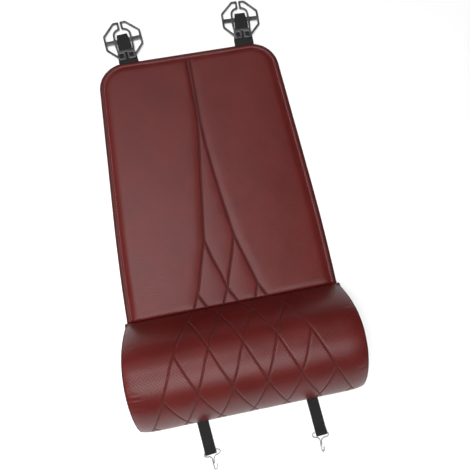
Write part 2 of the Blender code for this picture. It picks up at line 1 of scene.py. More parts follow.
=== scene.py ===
"""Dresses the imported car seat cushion: padded leatherette covers, stitching, straps, anchors and hooks."""

import math

import bmesh
import bpy
import numpy as np
from bpy.props import FloatProperty, FloatVectorProperty, IntProperty, PointerProperty
from mathutils import Matrix, Vector, noise
from mathutils.geometry import delaunay_2d_cdt


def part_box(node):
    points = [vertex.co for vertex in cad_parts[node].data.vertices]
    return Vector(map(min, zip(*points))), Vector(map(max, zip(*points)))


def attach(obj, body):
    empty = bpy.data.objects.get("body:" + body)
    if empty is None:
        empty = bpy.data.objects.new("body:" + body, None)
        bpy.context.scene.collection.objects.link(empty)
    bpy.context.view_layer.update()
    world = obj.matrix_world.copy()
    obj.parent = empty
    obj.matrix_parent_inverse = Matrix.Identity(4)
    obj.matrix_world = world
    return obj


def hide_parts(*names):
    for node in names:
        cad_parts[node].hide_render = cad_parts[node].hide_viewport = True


bl_info = {
    "name": "Car seat cushion",
    "version": (1, 0, 0),
    "blender": (4, 5, 0),
    "location": "3D View > Sidebar > Cushion",
    "description": "Builds the covers, stitching, straps, anchors and hooks of a car seat cushion",
    "category": "Object",
}

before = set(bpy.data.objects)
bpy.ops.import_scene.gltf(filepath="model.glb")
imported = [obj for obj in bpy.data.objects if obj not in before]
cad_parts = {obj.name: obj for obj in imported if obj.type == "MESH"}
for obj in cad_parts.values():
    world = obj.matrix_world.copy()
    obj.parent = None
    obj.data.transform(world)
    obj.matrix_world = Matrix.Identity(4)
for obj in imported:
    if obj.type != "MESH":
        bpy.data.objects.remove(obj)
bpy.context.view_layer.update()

MM = 0.001
BODY = "root"
CREASE_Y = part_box("seat_panel")[0].y       # seam between the panel and the roll

# Seat panel, laid out from the crease
PANEL_LENGTH = 609.5 * MM
FRONT_HALF = 241.0 * MM
SIDE_TAPER = 27.0 / 607.5
CREASE_DRAW = 6.4 * MM
DRAW_LENGTH = 240.0 * MM
CORNER_RADIUS = 64.0 * MM
SIDE_ANGLE = math.atan(SIDE_TAPER)
CORNER_X = FRONT_HALF - SIDE_TAPER * (PANEL_LENGTH - CORNER_RADIUS) - CORNER_RADIUS / math.cos(SIDE_ANGLE)
CORNER_Y = PANEL_LENGTH - CORNER_RADIUS
STITCH_INSET = 11.0 * MM
# distance in from the hem's edge, height of the cover (mm)
HEM_SHAPE = ((0, 2.9), (0.7, 4.1), (1.6, 4.9), (2.8, 5.6), (4.2, 6.2), (6, 6.75), (8, 7.1), (9.4, 6.9),
             (10.4, 6.2), (11, 5.8), (11.6, 6.6), (12.8, 8.2), (14.5, 9.7), (17, 10.9), (20.5, 11.7), (25, 12.2),
             (34, 12.6), (60, 12.9), (95, 13.1))
# distance behind the crease, height of the cover (mm)
CREASE_SHAPE = ((0, 5.2), (0.4, 7.2), (1.0, 8.9), (2.2, 10.6), (4.5, 11.8), (9, 12.6), (20, 13.0), (40, 13.1))
# distance in from the hem's edge and height of its rolled underside (mm)
HEM_UNDER = ((0.25, 2.2), (0.9, 1.0), (2.0, 0.3), (3.6, 0.0))
HEM_RINGS = (0.7, 1.6, 2.8, 4.2, 6, 8, 9.4, 10.4, 11, 11.6, 12.8, 14.5, 17, 20.5, 25, 29)
CREASE_ROWS = (0.6, 1.6, 3.5, 6.2, 9.5)
# distance behind the crease, left and right trunk's x (mm)
TRUNK_LINES = ((590, -2, 5), (530, -2, 5), (480, -2, 4), (430, -3, 3), (375, -9, 5), (312, -18, 10),
               (235, -28, 18), (150, -39, 29))
# branches below the trunks, as (x, distance behind the crease) pairs (mm)
BRANCH_LINES = (
    ((-39, 150), (-50, 113), (-69, 46), (-74, 34), (-88, 0)),
    ((-74, 34), (-57, 0)),
    ((-39, 150), (-29, 109), (-15, 67), (-7, 36), (12, 0)),
    ((29, 150), (18, 111), (0, 60), (-7, 36), (-23, 0)),
    ((29, 150), (35, 126), (48, 80), (60, 34), (48, 0)),
    ((60, 34), (77, 0)),
)
CREASE_STARTS = ((-88, 0), (-57, 1), (-23, 1), (12, 2), (48, 2), (77, 3))   # x at crease, first-row knot

# Leg roll, laid out from the crease and, round its section, from the top of the panel's seam
ROLL_HALF = 238.4 * MM
CREST_Y = -110.0 * MM
CREST_Z = 118.0 * MM
BACK_EDGE_HEIGHT = 10.0 * MM
BACK_POWER = 2.3
FRONT_POWER = 2.0
FRONT_FULLNESS = 0.78
FRONT_REACH = 117.2 * MM
TURN_RADIUS = 13.0 * MM
SEAM_LAP = 0.3 * MM          # how far the roll's back edge covers the panel's front edge
DIAMOND_PITCH = 68.5 * MM
DIAMOND_ROW = 85.0 * MM
FIRST_ROW = 45.0 * MM
FIRST_KNOTS = 4
DIAMOND_ROWS = 4
# distance in from the roll's end, how far its cover is drawn in (mm)
END_SHAPE = ((0, 6.6), (0.5, 5.4), (1.2, 4.7), (2.2, 4.2), (3.6, 3.7), (6, 3.1), (9, 2.4), (13, 1.7), (18, 1.0),
             (24, 0.5), (31, 0.15), (38, 0))
END_RINGS = (0.5, 1.2, 2.2, 3.6, 5.4, 7.6, 10.5, 14, 18, 23, 28)
# how far a ring of the end wall stands out past the seam and in from it (mm)
WALL_SEAM = ((-0.9, 1.6), (-0.5, 3.6), (0.6, 7.0))
WALL_CENTRE = (-112.0 * MM, 48.0 * MM)
WALL_BULGE = 3.0 * MM
WALL_RINGS = 12
# side, distance round the section, width, length and depth of a pucker beside the end seam (mm)
PUCKERS = ((-1, 190, 3.4, 17, 0.9), (-1, 201, 4.0, 22, 1.1), (-1, 210, 3.2, 15, 0.8), (-1, 226, 4.5, 14, 0.6),
           (1, 96, 4.0, 15, 0.6), (1, 118, 4.6, 18, 0.7), (1, 236, 4.0, 14, 0.6), (-1, 92, 4.2, 13, 0.5))

ROW_OFFSETS = (0.0, 0.5, 1.1, 2.0, 3.2, 4.9, 7.2)    # rows of points beside each sewn line (mm)
CELL = 4.6 * MM                                      # spacing of the covers' points away from the seams
SIM_CELL = 6.5 * MM
SIM_FRAMES = 20
STITCH_TURNS = (0.03, 0.05, 0.09)                    # most that a stitch turns off its line (radians)

# Elastic straps and anchor plates, laid out from each plate's centre
PLATE_THICKNESS = 3.6 * MM
PLATE_TILT = math.radians(-1.4)
PLATE_LIFT = 1.4 * MM
PLATE_CORNER = 2.6             # radius of the outline's corners (mm)
# half outline from the front edge round to the back (mm), and its windows, mirrored ones and the slot
PLATE_OUTLINE = ((2.8, -33.4), (2.8, -53.0), (20.4, -53.0), (20.4, -49.0), (45.6, -21.0), (45.6, 18.0),
                 (16.0, 49.0), (1.8, 49.0), (2.1, 27.4), (12.0, 24.2), (16.6, 19.0), (17.8, 11.0), (17.8, 2.0))
PLATE_WINDOWS = (
    ((6.4, 44.4), (14.2, 44.4), (41.0, 16.2), (41.0, 2.0), (22.4, 2.0), (22.2, 12.4), (20.6, 21.2), (14.4, 28.2),
     (6.7, 31.0)),
    ((22.8, -8.0), (41.0, -8.0), (41.0, -19.2), (21.2, -41.0), (20.9, -31.0), (22.2, -20.0)),
    ((6.4, -36.6), (6.4, -49.2), (16.8, -49.2), (16.8, -36.6)),
)
PLATE_SLOT = ((17.9, -8.0), (17.7, -20.0), (17.0, -28.6))
# how far in from the outline and how high each ring of the rounded edge lies (mm)
PLATE_EDGE = ((0.6, 0.0), (0.18, 0.16), (0.0, 0.6), (0.0, 3.0), (0.18, 3.44), (0.6, 3.6))
# distance along the strap from the plate's centre, height of its middle, width (mm)
ELASTIC_PATH = ((-53.0, 0.95, 46.0), (-42.0, 0.95, 43.5), (-36.0, 0.95, 41.0), (-31.0, 0.95, 35.0),
                (-28.0, 1.0, 33.0), (-23.0, 2.3, 32.5), (-13.5, 5.5, 32.0), (-8.5, 6.4, 31.0), (2.0, 6.3, 28.0),
                (12.5, 5.9, 25.0))
ELASTIC_WIDTH = 47.0 * MM
ELASTIC_THICKNESS = 1.4 * MM
ELASTIC_TUCK = 27.0            # length under the hem (mm)
ELASTIC_SEAT = 2.1 * MM
SEAT_PLAY = 0.4 * MM           # how much wider than the strap its hollow is on each side
RIM_ROWS = (-0.3 * MM, 0.3 * MM)    # rows of points on both sides of a hollow's rim
# side, plate centre x and distance behind the crease (mm), turn (degrees), centre to hem (mm)
ANCHORS = (("left", -143.4, 672.2, 4.5, 65.0), ("right", 148.2, 680.8, -2.5, 70.0))

# Webbing straps and wire hooks, laid out from each webbing's looped end
WEBBING_WIDTH = 24.0 * MM
WEBBING_PLY = 1.1 * MM
WEBBING_TUCK = 34.0            # length of each layer under the roll (mm)
WEBBING_SEAT = 3.0 * MM
LOOP_MIDDLE = 2.65             # height of the loop's axis (mm)
LOOP_RADIUS = 1.95             # from its axis to the middle of the webbing (mm)
WEBBING_TACK = ((-9, 18), (9, 18), (9, 28), (-9, 28), (-9, 18), (9, 28))   # its sewn line, from the looped end (mm)
WEBBING_LAYERS = (0.68, 1.92)  # heights of its two layers (mm)
# distance from the looped end and height of the upper layer where it comes down from the loop (mm)
WEBBING_FALL = ((5.0, 4.6), (8.0, 4.3), (11.0, 3.1), (14.0, 2.1), (17.0, 1.92))
BAR_PLACE = 3.4                # of the ring's bar, inside the looped end (mm)
WIRE_RADIUS = 1.0 * MM
WIRE_STEPS = 7                 # between two points of the hook's path
# how far past its path the wire's rounded ends narrow (mm), and to what share of its radius
WIRE_ENDS = ((0.38, 0.82), (0.55, 0.45))
HOOK_LEAN_START = 9.0          # distance from the ring's bar at which the stem leans (mm)
HOOK_DROP_LENGTH = 14.0        # length in which the wire comes down to the floor (mm)
HOOK_FOOT = 1.55               # how far the ring's bar is above the wire on the floor (mm)
# side, looped end x and distance before the crease (mm), turn of the webbing (degrees), sideways place (mm) and
# turn of the hook, lean of its stem, twist of its tip (degrees)
HOOKS = (("left", -105.0, 293.5, 5.0, 2.6, 0.0, 8.0, 0.0), ("right", 130.5, 303.0, 3.3, -2.0, -11.0, 0.0, 50.0))
# the wire's centre line from its tip, as (x, y) pairs from the middle of the ring's bar (mm)
HOOK_TIP = ((7.0, -27.0), (7.2, -30.6), (6.4, -34.2), (4.0, -36.4), (1.5, -35.8), (0.1, -33.2))
HOOK_STEM = ((-0.1, -29.0), (-1.15, -25.0), (-1.4, -18.5), (-2.6, -13.4), (-5.8, -10.4))
HOOK_RING = ((-11.2, -9.3), (-15.6, -7.8), (-17.2, -4.2), (-15.8, -1.2), (-13.2, 0.0))
HOOK_LAST = ((5.8, -10.4), (2.6, -13.4), (1.4, -18.5), (1.25, -24.4))

# Soft lights: name, how far it leans to the front and how far to the right, from and to (degrees)
SOFT_LIGHTS = (("key", (11, 47), (-34, 19)), ("side", (-19, 4), (-34, 3)), ("back", (-50, -19), (-50, 18)))

LAMP_PLACE = Vector((-0.42, -0.3, 0.75))
LAMP_TARGET = Vector((-0.1, -0.15, 0.0))
LAMP_SIZE = 0.5

# Camera
CAMERA_PLACE = (-0.0388, -0.2224, 1.018)
CAMERA_TURNS = (-0.1706, 0.0696, 0.1946)   # tilt, roll-over and turn (radians)
CAMERA_LENS = 35.0
CAMERA_SENSOR = 36.0


def groove_setting(name, about, size):
    """A groove's depth and its reach to each side."""
    return FloatVectorProperty(name=name, description=about, size=2, default=size, min=0.1 * MM, subtype="XYZ",
                               unit="LENGTH", precision=4)


def length_setting(name, about, size):
    return FloatProperty(name=name, description=about, default=size, min=0.1 * MM, unit="LENGTH", precision=4)


def strength_setting(name, about, value, **more):
    return FloatProperty(name=name, description=about, default=value, min=0.0, **more)


def colour_setting(name, about, value):
    return FloatVectorProperty(name=name, description=about, default=value, min=0.0, max=1.0, subtype="COLOR")


class CushionSizes(bpy.types.PropertyGroup):
    """Sizes of the covers and their seams."""

    seat_groove: groove_setting("Seat groove", "Depth and reach of the panel's channels", (1.9 * MM, 4.6 * MM))
    roll_groove: groove_setting("Roll groove", "Depth and reach of the roll's channels", (1.5 * MM, 3.6 * MM))
    seat_pressure: strength_setting("Seat pressure", "Pressure that swells the panel's cover", 2.0)
    seat_swell: length_setting("Seat swell", "Most that the panel's cover may swell", 1.6 * MM)
    roll_pressure: strength_setting("Roll pressure", "Pressure that swells the roll's cover", 9.0)
    roll_swell: length_setting("Roll swell", "Most that the roll's cover may swell", 0.4 * MM)
    hole_pitch: length_setting("Hole pitch", "Distance between rows of perforations", 7.2 * MM)
    hole_size: length_setting("Hole size", "Diameter of a perforation", 1.5 * MM)
    grain_size: length_setting("Grain size", "Width of a cell of the leather grain", 1.3 * MM)


class StitchSizes(bpy.types.PropertyGroup):
    """Sizes of the sewing thread's stitches."""

    length: length_setting("Stitch length", "Visible length of one stitch", 2.5 * MM)
    spacing: length_setting("Stitch spacing", "Distance from one stitch to the next", 3.7 * MM)
    thread: length_setting("Thread width", "Thickness of the sewing thread", 1.3 * MM)
    seed: IntProperty(name="Seed", description="Seed of the stitches' small turns", default=7, min=0)


class CushionColours(bpy.types.PropertyGroup):
    """Colours of the finishes."""

    leather: colour_setting("Leather", "Wine leatherette of the covers", (0.079, 0.0064, 0.0053))
    # Groove colour: painted shade in the sewn grooves and seams, partly the darker stretched leatherette
    groove: colour_setting("Groove", "Leatherette pulled in at the stitching", (0.036, 0.0018, 0.0018))
    thread: colour_setting("Thread", "Topstitching thread", (0.430, 0.1150, 0.1200))
    elastic: colour_setting("Elastic", "Knitted elastic straps", (0.009, 0.0090, 0.0093))
    webbing: colour_setting("Webbing", "Woven webbing straps", (0.010, 0.0102, 0.0105))
    plastic: colour_setting("Plastic", "Moulded anchor plates", (0.010, 0.010, 0.0105))
    # Painted glint on the anchor plates' edges, with some wear
    edge_glint_and_wear: colour_setting("Rubbed plastic", "Worn edges of the anchor plates", (0.17, 0.17, 0.173))
    metal: colour_setting("Metal", "Plated wire hooks", (0.340, 0.338, 0.330))


class StudioSetup(bpy.types.PropertyGroup):
    """Floor and lights of the studio."""

    floor: colour_setting("Floor", "Paper sweep under the cushion", (0.72, 0.72, 0.72))
    glow: strength_setting("Floor glow", "Light that the backlit floor gives off", 0.06)
    key: strength_setting("Key", "Brightness of the large soft light above the front", 5.2)
    side: strength_setting("Side", "Brightness of its part above the left", 5.0)
    back: strength_setting("Back", "Brightness of the dim soft light above the back", 1.0)
    fade: strength_setting("Fade", "Angle over which the soft lights' edges fade", math.radians(8), subtype="ANGLE")
    fill: strength_setting("Fill", "Brightness of the pale surroundings", 0.08)
    lamp_power: strength_setting("Lamp power", "Power of the lamp at the left", 4.6, subtype="POWER", unit="POWER")


# Node trees

def plug(target, value):
    """Set a socket's number or colour, or link another socket to it."""
    if isinstance(value, Number):
        value = value.socket
    if isinstance(value, bpy.types.NodeSocket):
        target.id_data.links.new(value, target)
    elif target.type == "RGBA":
        target.default_value = (*value[:3], 1.0)
    else:
        target.default_value = value


def add_node(tree, kind, settings=None, inputs=None):
    """Add a node, apply its settings, then fill its sockets by name or number."""
    node = tree.nodes.new(kind)
    for name, value in (settings or {}).items():
        setattr(node, name, value)
    for name, value in (inputs or {}).items():
        plug(node.inputs[name], value)
    return node


class Number:
    """A number on a node's socket; Python's operators add the Math nodes."""

    def __init__(self, socket):
        self.socket = socket

    def math(self, operation, *values):
        tree = self.socket.id_data
        inputs = dict(enumerate((self,) + values))
        return Number(add_node(tree, "ShaderNodeMath", {"operation": operation}, inputs).outputs[0])

    def __add__(self, other):
        return self.math("ADD", other)

    __radd__ = __add__

    def __mul__(self, other):
        return self.math("MULTIPLY", other)

    __rmul__ = __mul__

    def __sub__(self, other):
        return self.math("SUBTRACT", other)

    def __rsub__(self, other):
        return self * -1.0 + other

    def __truediv__(self, other):
        return self.math("DIVIDE", other)

    def __rtruediv__(self, other):
        return self.math("POWER", -1.0) * other

    def __pow__(self, other):
        return self.math("POWER", other)

    def fract(self):
        return self.math("FRACT")

    def absolute(self):
        return self.math("ABSOLUTE")

    def sine(self):
        return self.math("SINE")

    def ramp(self, low, high):
        """0 at low, 1 at high and smooth between."""
        inputs = {0: self, 1: low, 2: high}
        settings = {"interpolation_type": "SMOOTHSTEP"}
        return Number(add_node(self.socket.id_data, "ShaderNodeMapRange", settings, inputs).outputs[0])


class Finish:
    """A material with the few building blocks that this cushion's finishes share."""

    def __init__(self, name):
        self.material = bpy.data.materials.new(name)
        self.material.use_nodes = True
        self.tree = self.material.node_tree
        self.shader = self.tree.nodes["Principled BSDF"]
        self.place = self.node("ShaderNodeTexCoord").outputs["Object"]

    def node(self, kind, settings=None, inputs=None):
        return add_node(self.tree, kind, settings, inputs)

    def noise(self, cell, detail=2.0):
        """Soft noise in cells of a real width, from about 0 to 1."""
        inputs = {"Vector": self.place, "Scale": 1.0 / cell, "Detail": detail}
        return Number(self.node("ShaderNodeTexNoise", None, inputs).outputs["Fac"])

    def cells(self, cell):
        """Distance from the middle of the nearest cell of a real width, in cells."""
        inputs = {"Vector": self.place, "Scale": 1.0 / cell}
        return Number(self.node("ShaderNodeTexVoronoi", None, inputs).outputs["Distance"])

    def pattern(self):
        """Width and length on the cloth's own pattern, in metres."""
        flat = self.node("ShaderNodeUVMap", {"uv_map": "pattern"}).outputs[0]
        split = self.node("ShaderNodeSeparateXYZ", None, {0: flat})
        return Number(split.outputs[0]), Number(split.outputs[1])

    def from_knot(self, pitch):
        """Distance from the nearest crossing of diagonal rows on the cloth's pattern, in pitches."""
        across, along = self.pattern()
        rising = ((across + along) / pitch).fract() - 0.5
        falling = ((across - along) / pitch).fract() - 0.5
        return (rising * rising + falling * falling) ** 0.5

    def mask(self, name):
        return Number(self.node("ShaderNodeAttribute", {"attribute_name": name}).outputs["Fac"])

    def blend(self, share, colour, other):
        """One colour where the share is 0 and the other where it is 1."""
        inputs = {0: share, 6: colour, 7: other}
        return self.node("ShaderNodeMix", {"data_type": "RGBA"}, inputs).outputs[2]

    def relief(self, height, strength=1.0):
        """Bend the normal by a height in metres."""
        inputs = {"Height": height, "Distance": 1.0, "Strength": strength}
        self.surface({"Normal": self.node("ShaderNodeBump", None, inputs).outputs[0]})

    def surface(self, sockets):
        for name, value in sockets.items():
            plug(self.shader.inputs[name], value)
        return self.material


def shade(colour, share):
    return [share * part for part in colour]


def wave(place, period):
    """A sine wave along a place on the cloth's pattern."""
    return (place * (2 * math.pi / period)).sine()


def leatherette(colours, sizes):
    """Perforated, finely grained leatherette, with painted shade at its sewn-in lines and edges."""
    finish = Finish("wine_leatherette")
    from_hole = finish.from_knot(sizes.hole_pitch)
    radius = sizes.hole_size / 2 / sizes.hole_pitch * math.sqrt(2)
    sewn, plain, edge = finish.mask("sewn"), finish.mask("plain"), finish.mask("edge")
    hole = (1.0 - from_hole.ramp(0.75 * radius, 1.15 * radius)) * (1.0 - plain)

    grain = finish.cells(sizes.grain_size)
    mottle = finish.noise(70 * MM, 3.0)
    fine = finish.noise(3.0 * MM, 3.0)
    light = [c * 1.09 + 0.001 for c in colours.leather]
    dark = shade(colours.leather, 0.91)
    colour = finish.blend(mottle.ramp(0.30, 0.72), dark, light)
    colour = finish.blend(grain.ramp(0.1, 0.75) * 0.22, colour, dark)
    # Painted shade on the rounded rims, over the hem band and on the turned-under edges, speckled by fine noise
    colour = finish.blend(edge * (0.7 + fine.ramp(0.38, 0.62) * 0.28), colour, shade(colours.leather, 0.16))
    # Painted shade in the sewn grooves and seams, partly the darker stretched leatherette
    colour = finish.blend(sewn * 0.9, colour, colours.groove)
    colour = finish.blend(hole * 0.92, colour, shade(colours.leather, 0.22))
    finish.relief(grain * (-0.055 * MM) + fine * (0.05 * MM) + hole * (-0.30 * MM))
    roughness = 0.28 + mottle * 0.05 + grain * 0.05 + sewn * 0.4 + hole * 0.3 + edge * 0.3
    return finish.surface({"Base Color": colour, "Roughness": roughness, "IOR": 1.37})


def thread_finish(name, colour):
    """Twisted sewing thread."""
    finish = Finish(name)
    twist = finish.noise(0.5 * MM, 1.0)
    colour = finish.blend(twist.ramp(0.3, 0.7), shade(colour, 0.7), shade(colour, 1.25))
    finish.relief(twist * (0.08 * MM))
    return finish.surface({"Base Color": colour, "Roughness": 0.55 + twist * 0.2})


def elastic_finish(colours):
    """Knitted elastic: long ribs crossed by fine picks."""
    finish = Finish("black_elastic_knit")
    across, along = finish.pattern()
    rib = wave(across, 1.5 * MM)
    pick = (along * (2 * math.pi / (1.1 * MM)) + rib * 1.3).sine()
    fuzz = finish.noise(6 * MM, 4.0)
    weave = rib.ramp(-0.9, 0.9) * 0.6 + pick.ramp(-0.9, 0.9) * 0.4
    colour = finish.blend(weave, shade(colours.elastic, 0.45), shade(colours.elastic, 1.7))
    colour = finish.blend(fuzz.ramp(0.45, 0.8) * 0.4, colour, shade(colours.elastic, 2.0))
    finish.relief(weave * (0.22 * MM))
    return finish.surface({"Base Color": colour, "Roughness": 0.78 + fuzz * 0.15, "Specular IOR Level": 0.3})


def webbing_finish(colours):
    """Woven webbing with a herringbone of fine picks."""
    finish = Finish("black_webbing_weave")
    across, along = finish.pattern()
    fold = ((across / (6 * MM)).fract() - 0.5).absolute()
    pick = ((along / (1.7 * MM) + fold * 5.0) * (2 * math.pi)).sine()
    warp = wave(across, 0.75 * MM)
    fuzz = finish.noise(5 * MM, 4.0)
    weave = pick.ramp(-0.8, 0.8) * 0.65 + warp.ramp(-0.9, 0.9) * 0.35
    colour = finish.blend(weave, shade(colours.webbing, 0.5), shade(colours.webbing, 1.6))
    colour = finish.blend(fuzz.ramp(0.5, 0.8) * 0.35, colour, shade(colours.webbing, 2.1))
    finish.relief(weave * (0.20 * MM))
    return finish.surface({"Base Color": colour, "Roughness": 0.72 + fuzz * 0.2, "Specular IOR Level": 0.25})


def plastic_finish(colours):
    """Moulded black plastic with a fine spark texture, and edges lightened by a painted glint with some wear."""
    finish = Finish("black_moulded_plastic")
    spark = finish.noise(0.8 * MM, 2.0)
    rub = finish.noise(14 * MM, 4.0)
    edge = finish.mask("edge")
    colour = finish.blend(rub.ramp(0.35, 0.7), colours.plastic, shade(colours.plastic, 1.5))
    # Painted glint on the rounded edges in light grey, with some wear
    colour = finish.blend(edge * (0.25 + rub.ramp(0.35, 0.6) * 0.6), colour, colours.edge_glint_and_wear)
    finish.relief(spark * (0.03 * MM))
    return finish.surface({"Base Color": colour, "Roughness": 0.24 + rub * 0.16 + spark * 0.06})


def metal_finish(colours):
    """Bright plated wire with faint drawing marks."""
    finish = Finish("bright_plated_wire")
    marks = finish.noise(1.2 * MM, 3.0)
    stain = finish.noise(5 * MM, 3.0)
    colour = finish.blend(stain.ramp(0.45, 0.6) * 0.8, colours.metal, shade(colours.metal, 0.3))
    finish.relief(marks * (0.02 * MM))
    return finish.surface({"Base Color": colour, "Metallic": 1.0, "Roughness": 0.16 + marks * 0.12 + stain * 0.08})


# Profiles and lines on the covers' patterns

def smooth_step(value):
    value = np.clip(value, 0.0, 1.0)
    return value * value * (3.0 - 2.0 * value)


def risen(distance, start, width):
    """0 up to a start and 1 from a width past it, both in millimetres."""
    return smooth_step((distance - start * MM) / (width * MM))


def around(distance, place, reach, power=2):
    """1 at a place and 0 well beyond a reach from it, both in millimetres."""
    return np.exp(-((distance - place * MM) / (reach * MM)) ** power)


def smooth_profile(table, distance):
    """Read a table in millimetres at distances in metres, along a curve without overshoot."""
    place, height = np.array(table, dtype=float).T * MM
    steps = np.diff(height) / np.diff(place)
    slopes = np.zeros(len(place))
    agree = steps[:-1] * steps[1:] > 0.0
    slopes[1:-1][agree] = 2.0 / (1.0 / steps[:-1][agree] + 1.0 / steps[1:][agree])
    slopes[0], slopes[-1] = steps[0], 0.0
    distance = np.clip(distance, place[0], place[-1])
    k = np.clip(np.searchsorted(place, distance, side="right") - 1, 0, len(steps) - 1)
    width = place[k + 1] - place[k]
    t = (distance - place[k]) / width
    rise = height[k + 1] - height[k]
    bend = (t - 1.0) * (slopes[k] * (1.0 - t) - slopes[k + 1] * t) * width * -t
    return height[k] + rise * t * t * (3.0 - 2.0 * t) + bend


def run_along(line):
    """Distance along a line at each of its points."""
    return np.concatenate([[0.0], np.cumsum(np.linalg.norm(np.diff(line, axis=0), axis=1))])


def unit(vectors):
    return vectors / np.linalg.norm(vectors, axis=1)[:, None]


def turned_left(ahead):
    """Flat vectors turned a quarter to the left."""
    return np.stack([-ahead[:, 1], ahead[:, 0]], axis=1)


def spaced(line, step):
    """Evenly spaced points along an open line."""
    line = np.asarray(line, dtype=float)
    lengths = run_along(line)
    count = max(2, int(round(lengths[-1] / step)) + 1)
    at = np.linspace(0.0, lengths[-1], count)
    return np.stack([np.interp(at, lengths, line[:, k]) for k in range(line.shape[1])], axis=1)


def offset_line(line, distance):
    """Move an open 2D line sideways."""
    return line + turned_left(unit(np.gradient(line, axis=0))) * distance


def smooth_path(path, lengths, steps):
    """A smooth line through a path's points, with a number of steps that depends on each span's length."""
    slopes = np.gradient(path, lengths, axis=0)
    found = []
    for k, span in enumerate(np.diff(lengths)):
        for t in np.linspace(0.0, 1.0, steps(span) + 1)[:-1]:
            a, b = (1 + 2 * t) * (1 - t) ** 2, t * t * (3 - 2 * t)
            c, d = t * (1 - t) ** 2 * span, t * t * (t - 1) * span
            found.append(a * path[k] + b * path[k + 1] + c * slopes[k] + d * slopes[k + 1])
    return np.array(found + [path[-1]])


def line_distance(points, lines):
    """Distance from each point to the nearest of some lines."""
    starts = np.concatenate([line[:-1] for line in lines])
    runs = np.concatenate([line[1:] - line[:-1] for line in lines])
    nearest = np.full(len(points), np.inf)
    for start, run in zip(starts, runs):
        share = np.clip((points - start) @ run / (run @ run), 0.0, 1.0)
        nearest = np.minimum(nearest, np.linalg.norm(start + share[:, None] * run - points, axis=1))
    return nearest


def sewn_depth(distance, groove):
    """How far the stitching pulls a cover in at a distance from its line."""
    depth, reach = groove
    sharp = np.exp(-distance / (0.20 * reach))
    broad = 1.0 - smooth_step(distance / reach)
    return depth * (0.55 * sharp + 0.45 * broad)


def within(point, loop):
    """Whether a flat point is inside a closed loop."""
    after = np.roll(loop, -1, axis=0)
    crosses = (loop[:, 1] > point[1]) != (after[:, 1] > point[1])
    rise = np.where(crosses, after[:, 1] - loop[:, 1], 1.0)
    x = loop[:, 0] + (point[1] - loop[:, 1]) * (after[:, 0] - loop[:, 0]) / rise
    return np.count_nonzero(crosses & (x > point[0])) % 2 == 1


def undulation(points, cell, seed):
    """Soft noise from -1 to 1 in cells of a real width."""
    return np.array([noise.noise(Vector((p[0] / cell, p[1] / cell, seed))) for p in points])


class Pattern:
    """Points of a cover's flat pattern, kept apart from each other, and their triangles."""

    CELL = 3.0 * MM

    def __init__(self):
        self.points = []
        self.grid = {}

    def add(self, points, clear):
        """Keep the points that are at least a distance from those there are."""
        for x, y in points:
            column, row = int(x // self.CELL), int(y // self.CELL)
            near = [p for i in (-1, 0, 1) for j in (-1, 0, 1) for p in self.grid.get((column + i, row + j), ())]
            if all((x - a) ** 2 + (y - b) ** 2 >= clear * clear for a, b in near):
                self.grid.setdefault((column, row), []).append((x, y))
                self.points.append((x, y))

    def triangles(self, outline):
        """Flat points and triangles inside an outline."""
        edge = [Vector(p) for p in outline]
        inner = [Vector(p) for p in self.points]
        result = delaunay_2d_cdt(edge + inner, [], [list(range(len(edge)))], 1, 1e-6)
        return np.array([tuple(p) for p in result[0]]), result[2]


def seam_points(pattern, lines, keep):
    """Add rows of points along sewn lines, closest to the stitching first."""
    for offset in ROW_OFFSETS:
        step = 2.5 * MM + 0.12 * offset * MM
        for line in lines:
            even = spaced(line, step)
            for side in (-1.0, 1.0) if offset else (1.0,):
                row = offset_line(even, side * offset * MM)
                pattern.add([p for p in row if keep(*p)], max(0.45, 0.35 * offset) * MM)


def field_points(pattern, low, high, clear_of, keep):
    """Add staggered rows of points away from the seams."""
    rows = np.arange(low[1], high[1], CELL * math.sin(math.pi / 3))
    found = []
    for k, y in enumerate(rows):
        found += [(x, y) for x in np.arange(low[0] + (k % 2) * CELL / 2, high[0], CELL)]
    away = line_distance(np.array(found), clear_of) > (ROW_OFFSETS[-1] + 2.0) * MM
    pattern.add([p for p, ok in zip(found, away) if ok and keep(*p)], 0.6 * CELL)


# Cloth simulation

def swollen(name, grid, closings, held, pressure, cap):
    """Blow a closed cloth shell up and return how far each point of its grid moves outwards."""
    rows, columns = grid.shape[:2]
    index = np.arange(rows * columns).reshape(rows, columns)
    faces = np.stack([index[:-1, :-1], index[:-1, 1:], index[1:, 1:], index[1:, :-1]], axis=-1).reshape(-1, 4)
    mesh = bpy.data.meshes.new(name)
    mesh.from_pydata(grid.reshape(-1, 3).tolist(), [], faces.tolist() + [list(loop) for loop in closings(index)])
    mesh.validate()
    face_outwards(mesh)
    normals = np.zeros(len(mesh.vertices) * 3)
    mesh.vertex_normals.foreach_get("vector", normals)
    shell = bpy.data.objects.new(name, mesh)
    bpy.context.scene.collection.objects.link(shell)
    group = shell.vertex_groups.new(name="held")
    group.add([int(k) for k in index[held]], 1.0, "REPLACE")
    cloth = shell.modifiers.new("Cloth", "CLOTH")
    cloth.settings.quality = 5
    cloth.settings.vertex_group_mass = "held"
    cloth.settings.use_pressure = True
    cloth.settings.uniform_pressure_force = pressure
    cloth.settings.effector_weights.gravity = 0.0
    cloth.collision_settings.use_collision = False
    cloth.point_cache.frame_start = 1
    cloth.point_cache.frame_end = SIM_FRAMES
    for step in range(1, SIM_FRAMES + 1):
        bpy.context.scene.frame_set(step)
    graph = bpy.context.evaluated_depsgraph_get()
    result = shell.evaluated_get(graph).data
    moved = np.zeros(len(result.vertices) * 3)
    result.vertices.foreach_get("co", moved)
    bpy.context.scene.frame_set(1)
    bpy.data.objects.remove(shell, do_unlink=True)
    moved = moved.reshape(-1, 3)[:rows * columns] - grid.reshape(-1, 3)
    outwards = (moved * normals.reshape(-1, 3)[:rows * columns]).sum(1).reshape(rows, columns)
    return cap * np.tanh(np.clip(outwards, 0.0, None) / cap)


